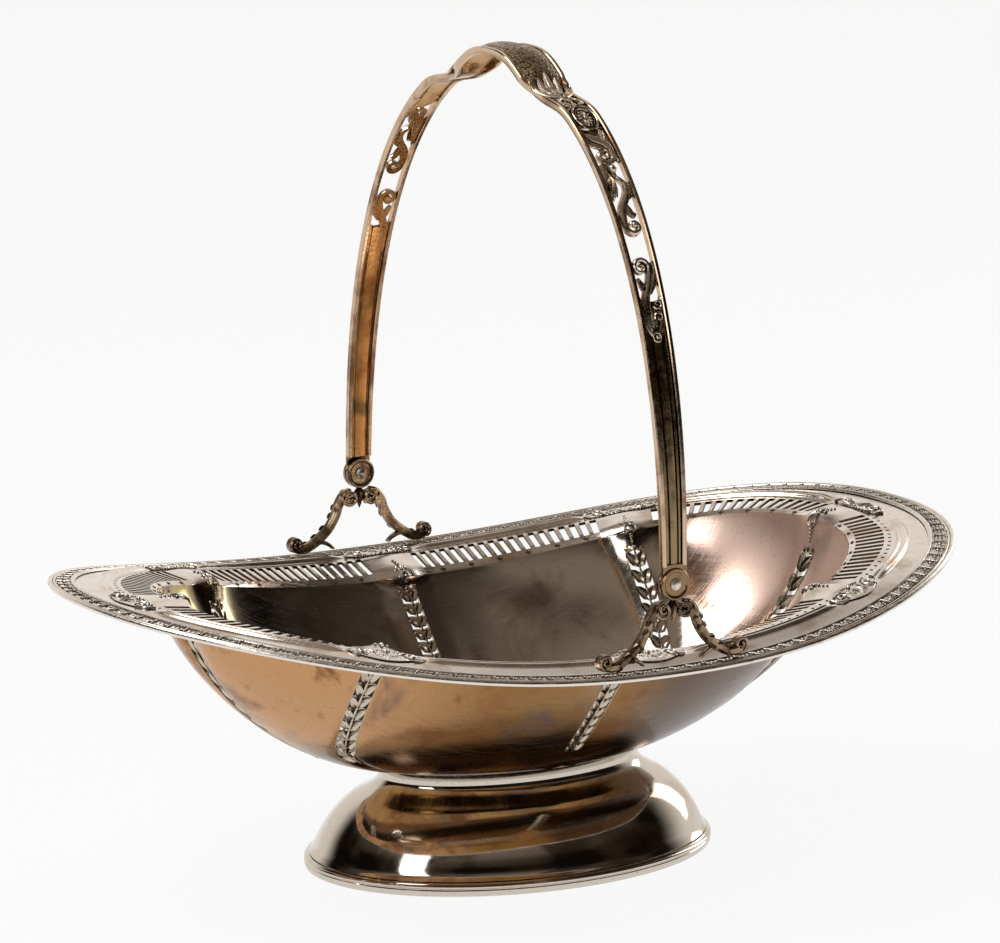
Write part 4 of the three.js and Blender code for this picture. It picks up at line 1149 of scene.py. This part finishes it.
def upper_scroll():
    """Above the gap: a hook with a volute, a shell leaf, a ball, and a second volute under the cartouche."""
    stem = [(0.4, 17.8, 1.2), (2.3, 15.4, 1.8), (2.4, 12.8, 2.3), (1.2, 10.0, 2.9), (-0.8, 7.2, 3.2),
            (-1.9, 4.4, 3.1), (-2.2, 1.8, 2.6)]
    sweep = [(-3.8, 35.2, 1.8), (-1.6, 33.4, 2.8), (1.4, 31.6, 3.1), (3.0, 29.0, 2.7)]
    parts = [
        vine(stem + volute((0.6, -0.2), (2.8, 0.9), 178, 0.95, (2.2, 1.5), 12), -0.7, 1.15, steps=3),
        pearl(0.9, 0.2, 1.05, 0.6),
        vine([(-0.6, 8.4, 2.0), (0.6, 6.0, 2.4), (1.4, 4.2, 2.2), (2.6, 3.4, 1.8)], -0.5, 1.0),
        vine([(1.2, 9.6, 2.0), (2.8, 10.8, 2.4), (4.0, 13.0, 1.9), (4.1, 15.6, 1.0)], -0.5, 0.75),
    ]
    for k, reach in enumerate((-4.2, -3.4, -2.5, -1.6)):
        tip = (reach, 9.4 + 0.3 * abs(k - 1))
        parts.append(leaf((-1.7 + 0.1 * k, 18.2), tip, 0.95, 1.3, base=0.25, steps=5, blunt=0.6))
    parts += [
        vine([(-3.4, 9.4, 1.0), (-3.2, 13.0, 2.4), (-2.6, 17.0, 3.2), (-2.4, 22.8, 3.4)], -0.6, 0.35),
        vine([(0.4, 16.9, 1.4), (0.2, 20.2, 2.0), (-0.4, 24.2, 1.8)], -0.5, 0.7),
        pearl(0.1, 20.6, 1.5, 0.8),
        vine(sweep + volute((-0.2, 26.0), (3.1, 0.6), 15, -1.3, (2.3, 1.2)), -0.7, 1.15, steps=3),
        vine([(4.2, 23.6, 0.9), (3.8, 27.4, 1.9), (3.4, 31.9, 2.7), (3.2, 35.0, 2.3)], -0.6, 0.6),
        vine([(-4.0, 32.0, 1.0), (-1.8, 30.6, 1.8), (0.8, 29.0, 1.4)], -0.5, 0.7),
    ]
    for k in range(3):
        tip = (-2.4 + 1.6 * k, 33.0 - 1.2 * k)
        parts.append(leaf((3.4 - 0.6 * k, 37.2), tip, 1.2, 1.3, base=0.3, bend=0.7, steps=5, blunt=0.7))
    return together(parts)


BOSS_MIDDLE = 42.5  # the oval boss of the cartouche, from the upper volute
BOSS_HALVES = (3.9, 5.4)


def cartouche():
    """An oval boss with a ring of petals between two rims, and leaves that flow up to the shoulder."""
    oval = []
    for k in range(25):
        angle = FULL_TURN * k / 24
        oval.append((BOSS_HALVES[0] * math.cos(angle), BOSS_HALVES[1] * math.sin(angle)))
    parts = []
    for share, width, high in ((1.0, 0.8, 1.45), (0.78, 0.4, 1.3)):
        parts.append(vine([(x * share, y * share, width) for x, y in oval], 0.4, high, steps=1))
    for x, y in oval[:-1:2]:
        parts.append(leaf((x * 0.12, y * 0.12), (x * 0.72, y * 0.72), 0.62, 0.55, base=0.75, steps=3))
    flow = [
        vine([(1.0, 6.7, 1.0), (3.6, 8.3, 1.5), (3.2, 11.3, 1.3), (1.2, 12.9, 0.5)], 0.3, 1.4),
        leaf((0.6, 6.3), (4.6, 3.9), 0.9, 0.9, base=0.6, bend=0.4),
        leaf((0.4, -5.5), (4.4, -4.9), 0.9, 0.9, base=0.6, bend=0.5),
    ]
    for k in range(3):
        tip = (3.6 - 0.2 * k, 15.8 + 3.4 * k)
        flow.append(leaf((0.3, 11.3 + 3.2 * k), tip, 1.0, 0.9, base=0.6, bend=-0.5))
    parts += [pearl(0, 0, 0.7, 0.9), leaf((0, 7.8), (0, 14.3), 1.2, 1.2, base=0.6, steps=5)]
    return together(parts + both_sides(flow))


FAN_ROOT = ARCH.length / 2 - 33


def grip_fan():
    """Leaves that spread over each end of the grip between two thin vines."""
    parts = [
        leaf((0.4, -1), (3.2, 9.2), 1.5, 1.0, base=0.7, bend=-0.9, steps=7, blunt=0.7),
        leaf((0.8, -3), (6.2, 5.4), 1.4, 0.9, base=0.6, bend=-1.3, steps=7, blunt=0.7),
        vine([(1.2, -4.4, 1.0), (4.6, -1.6, 1.2), (7.0, 3.4, 0.9), (6.6, 8.0, 0.4)], 0.4, 1.5),
    ]
    middle = leaf((0, -2), (0, 12.0), 1.6, 1.2, base=0.8, steps=8, blunt=0.7)
    return together(both_sides(parts) + [middle])


def arm_ornament():
    """The scrolls, leaves and cartouches laid on both arms, and the fans on the grip."""
    bm = bmesh.new()
    for drawing, start in ((lower_scroll(), SCROLL_LOW), (upper_scroll(), SCROLL_HIGH),
                           (cartouche(), SCROLL_HIGH + BOSS_MIDDLE)):
        merge(bm, drawing, lambda p: ARCH.place(start + p.y, p.x, p.z))
    merge(bm, grip_fan(), lambda p: ARCH.place(FAN_ROOT + p.y, p.x, p.z + ARCH.dome(FAN_ROOT + p.y) * 0.9))
    both_arms(bm)
    mark_underside(bm, 1)
    piece("handle_ornament", bm, [ORNAMENT_CAST, UNDER_PLATE], "bail", "handle_silver_plate")


# Brackets and rivets

TOE_REACH = 22.3  # from the pivot's plane to where a toe lies on the border


def bracket_seat():
    """Height of the border's top under a toe, with the gap over it."""
    angle = math.acos((TOE_REACH / (RIM_LENGTH / 2)) ** (RIM_POWER / 2))
    return rim_line(angle) + BORDER_HEIGHT + SEAT_GAP


def bracket_leg():
    """A volute under the hinge, a leafy stem and a toe curled up on the border."""
    sole = bracket_seat() - PIVOT_HEIGHT + 1.85
    curl = spiral((4.0, -8.4), 3.1, 0.6, math.radians(60), -1.6, 30)
    stem = smooth_path([(3.4, -6.7), (6.4, -7.6), (8.5, -10.6), (9.8, -14.2),
                        (13.0, lerp(-13.2, sole, 0.5)), (18.2, sole + 1.7), (TOE_REACH, sole),
                        (26.0, sole + 0.6)])
    toe = spiral((25.6, sole + 2.0), 2.5, 0.5, math.radians(-80), 1.5, 28)
    tail = smooth_path([(19.5, sole + 0.8), (16.0, sole + 1.8), (12.8, sole + 0.6), (10.8, sole - 1.0)], 5)
    parts = [scroll(curl, (1.5, 0.8), 0, LEG_DEPTH), scroll(stem, (1.8, 2.6), 0, LEG_DEPTH, edge=0.5),
             scroll(stem, (3.4, 3.2), 0.3, LEG_DEPTH - 0.7, edge=0.5), scroll(toe, (1.3, 0.7), 0, LEG_DEPTH),
             scroll(tail, (2.0, 0.9), 0.4, 2.4)]
    for share, size in ((0.3, 2.6), (0.42, 3.0), (0.55, 3.2), (0.66, 3.2), (0.78, 3.0)):
        k = int(share * (len(stem) - 1))
        root = Vector(stem[k])
        run = (Vector(stem[min(k + 4, len(stem) - 1)]) - root).normalized()
        for flank in (-1, 1):
            tip = root + run * size + Vector((-run.y, run.x)) * flank * 1.7
            parts.append(leaf(root, tip, 0.9, 1.1, base=LEG_DEPTH - 0.5, bend=flank * 0.3))
    return parts


def bracket():
    """Two legs, three husk leaves that hang between them on both sides, and the ear of the hinge."""
    parts = both_sides(bracket_leg())
    for x, y, width in ((0, -12.6, 1.3), (-2.4, -11.4, 0.9), (2.4, -11.4, 0.9)):
        for rise, base in ((1.6, 1.9), (-1.2, 1.6)):
            parts.append(leaf((x * 0.2, -5.0), (x, y), width, rise, base=base, steps=5))
    ear = hinge_disc()
    bmesh.ops.scale(ear, vec=(1, 1, -1), verts=ear.verts)
    bmesh.ops.translate(ear, vec=(0, 0, DISC_THICKNESS), verts=ear.verts)
    face_outwards(ear)
    parts.append(ear)
    return together([together(parts)], lambda p: Vector((p.x, -(EAR_INNER + p.z), PIVOT_HEIGHT + p.y)))


def rivet():
    """A pin with a low dome outside, and its hammered end inside the ear."""
    inner = EAR_INNER + 0.3
    outline = [(0.0, inner - 1.2), (0.9, inner - 1.0), (1.7, inner - 0.5), (2.0, inner), (1.2, inner + 0.1),
               (1.2, DISC_OUTER - 0.6), (2.0, DISC_OUTER - 0.5), (1.9, DISC_OUTER - 0.1),
               (1.3, DISC_OUTER + 0.35), (0.7, DISC_OUTER + 0.5), (0.0, DISC_OUTER + 0.55)]
    return together([lathe(outline, 24)], lambda p: Vector((p.x, -p.z, PIVOT_HEIGHT + p.y)))


def hinges():
    for end, angle in (("front", 0), ("back", math.pi)):
        turn = Matrix.Rotation(angle, 3, "Z")
        for name, shape, make, material in (("bracket", "scrolls", bracket, BRACKET_PLATE),
                                            ("rivet", "head", rivet, RIVET_SILVER)):
            bm = make()
            bmesh.ops.rotate(bm, cent=(0, 0, 0), matrix=turn, verts=bm.verts)
            piece(f"{name}_{shape}_{end}", bm, [material], "basket", "bracket_silver", f"{name}_{end}")


bowl()
rim_border()
crests()
garlands()
rib_medallions()
flange_fleurs()
foot()
foot_base_ring()
handle_strip()
arm_ornament()
hinges()


# Studio

FLOOR_GLOW = 0.92
CAMERA_PLACE = Vector((-0.99107, -1.65130, 0.53015))
AIM_HEIGHT = 0.13037
CAMERA_AIM = Vector((0, 0, AIM_HEIGHT))
LAMP_AIM = Vector((0, 0, 0.1))


def look_from(thing, place, aim):
    thing.location = place
    thing.rotation_euler = (aim - Vector(place)).to_track_quat("-Z", "Y").to_euler()


def stage_floor():
    """A pale floor that keeps the shadow, and that the eye and the mirrors see as near white."""
    material = bpy.data.materials.new("studio_paper")
    add = empty_tree(material)
    material.cycles.emission_sampling = "NONE"
    shown = 0.0
    for ray in ("Is Camera Ray", "Is Glossy Ray", "Is Transmission Ray"):
        shown = add("Math", LARGEST, i0=shown, i1=add("LightPath", out=ray))
    share = add("Math", {"operation": "MULTIPLY"}, i0=shown, i1=FLOOR_GLOW)
    paper = add("BsdfDiffuse", Color=linear("#f6f5f3"))
    glow = add("Emission", Color=linear("#ffffff"), Strength=1.0)
    add("OutputMaterial", Surface=add("MixShader", Fac=share, i1=paper, i2=glow))
    bm = bmesh.new()
    bmesh.ops.create_grid(bm, x_segments=1, y_segments=1, size=6)
    mesh = bpy.data.meshes.new("studio_floor")
    bm.to_mesh(mesh)
    bm.free()
    mesh.materials.append(material)
    put("studio_floor", mesh)


def studio_world():
    """A dim brown room with a white backdrop behind the basket, as the metal reflects it."""
    world = bpy.data.worlds.new("studio")
    bpy.context.scene.world = world
    add = empty_tree(world)
    direction = add("TexCoord", out="Generated")
    height = add("SeparateXYZ", out="Z", Vector=direction)
    clouds = add("TexNoise", Vector=direction, Scale=2.3, Detail=2.0, Roughness=0.45, Distortion=0.5)
    away = (CAMERA_AIM - CAMERA_PLACE).normalized()
    behind = add("VectorMath", {"operation": "DOT_PRODUCT"}, "Value", i0=direction,
                 i1=(away.x, away.y, -0.5))
    walls = blend(add, clouds, 0.45, 0.7, linear("#120e0a"), linear("#30271f"))
    ceiling = blend(add, clouds, 0.38, 0.6, linear("#4a4038"), linear("#8d8175"))
    upper = blend(add, height, 0.5, 0.85, walls, ceiling)
    room = blend(add, behind, 0.13, 0.58, upper, linear("#f4efe8"))
    seen = add("LightPath", out="Is Camera Ray")
    view = add("Mix", COLOURS, MIXED_COLOUR, Factor=seen, i6=room, i7=linear("#ffffff"))
    add("OutputWorld", Surface=add("Background", Color=view, Strength=1.0))


def soft_lamp(name, place, size, power):
    lamp = bpy.data.lights.new(name, "AREA")
    lamp.shape = "RECTANGLE"
    lamp.size, lamp.size_y = size
    lamp.energy = power
    look_from(put(name, lamp), place, LAMP_AIM)


def camera():
    lens = bpy.data.cameras.new("photo_camera")
    lens.lens = 212.27
    lens.sensor_width = 36
    lens.shift_x = -0.0091
    lens.shift_y = 0.0003
    thing = put("photo_camera", lens)
    look_from(thing, CAMERA_PLACE, CAMERA_AIM)
    bpy.context.scene.camera = thing


stage_floor()
studio_world()
soft_lamp("softbox_overhead", (-0.52, 0.26, 1.25), (0.65, 0.7), 7)
soft_lamp("softbox_left", (-1.3, -0.8, 0.95), (0.5, 0.9), 4)
soft_lamp("softbox_right", (1.5, 0.5, 0.7), (0.4, 1.0), 3)
camera()
bpy.context.scene.view_settings.view_transform = "Standard"
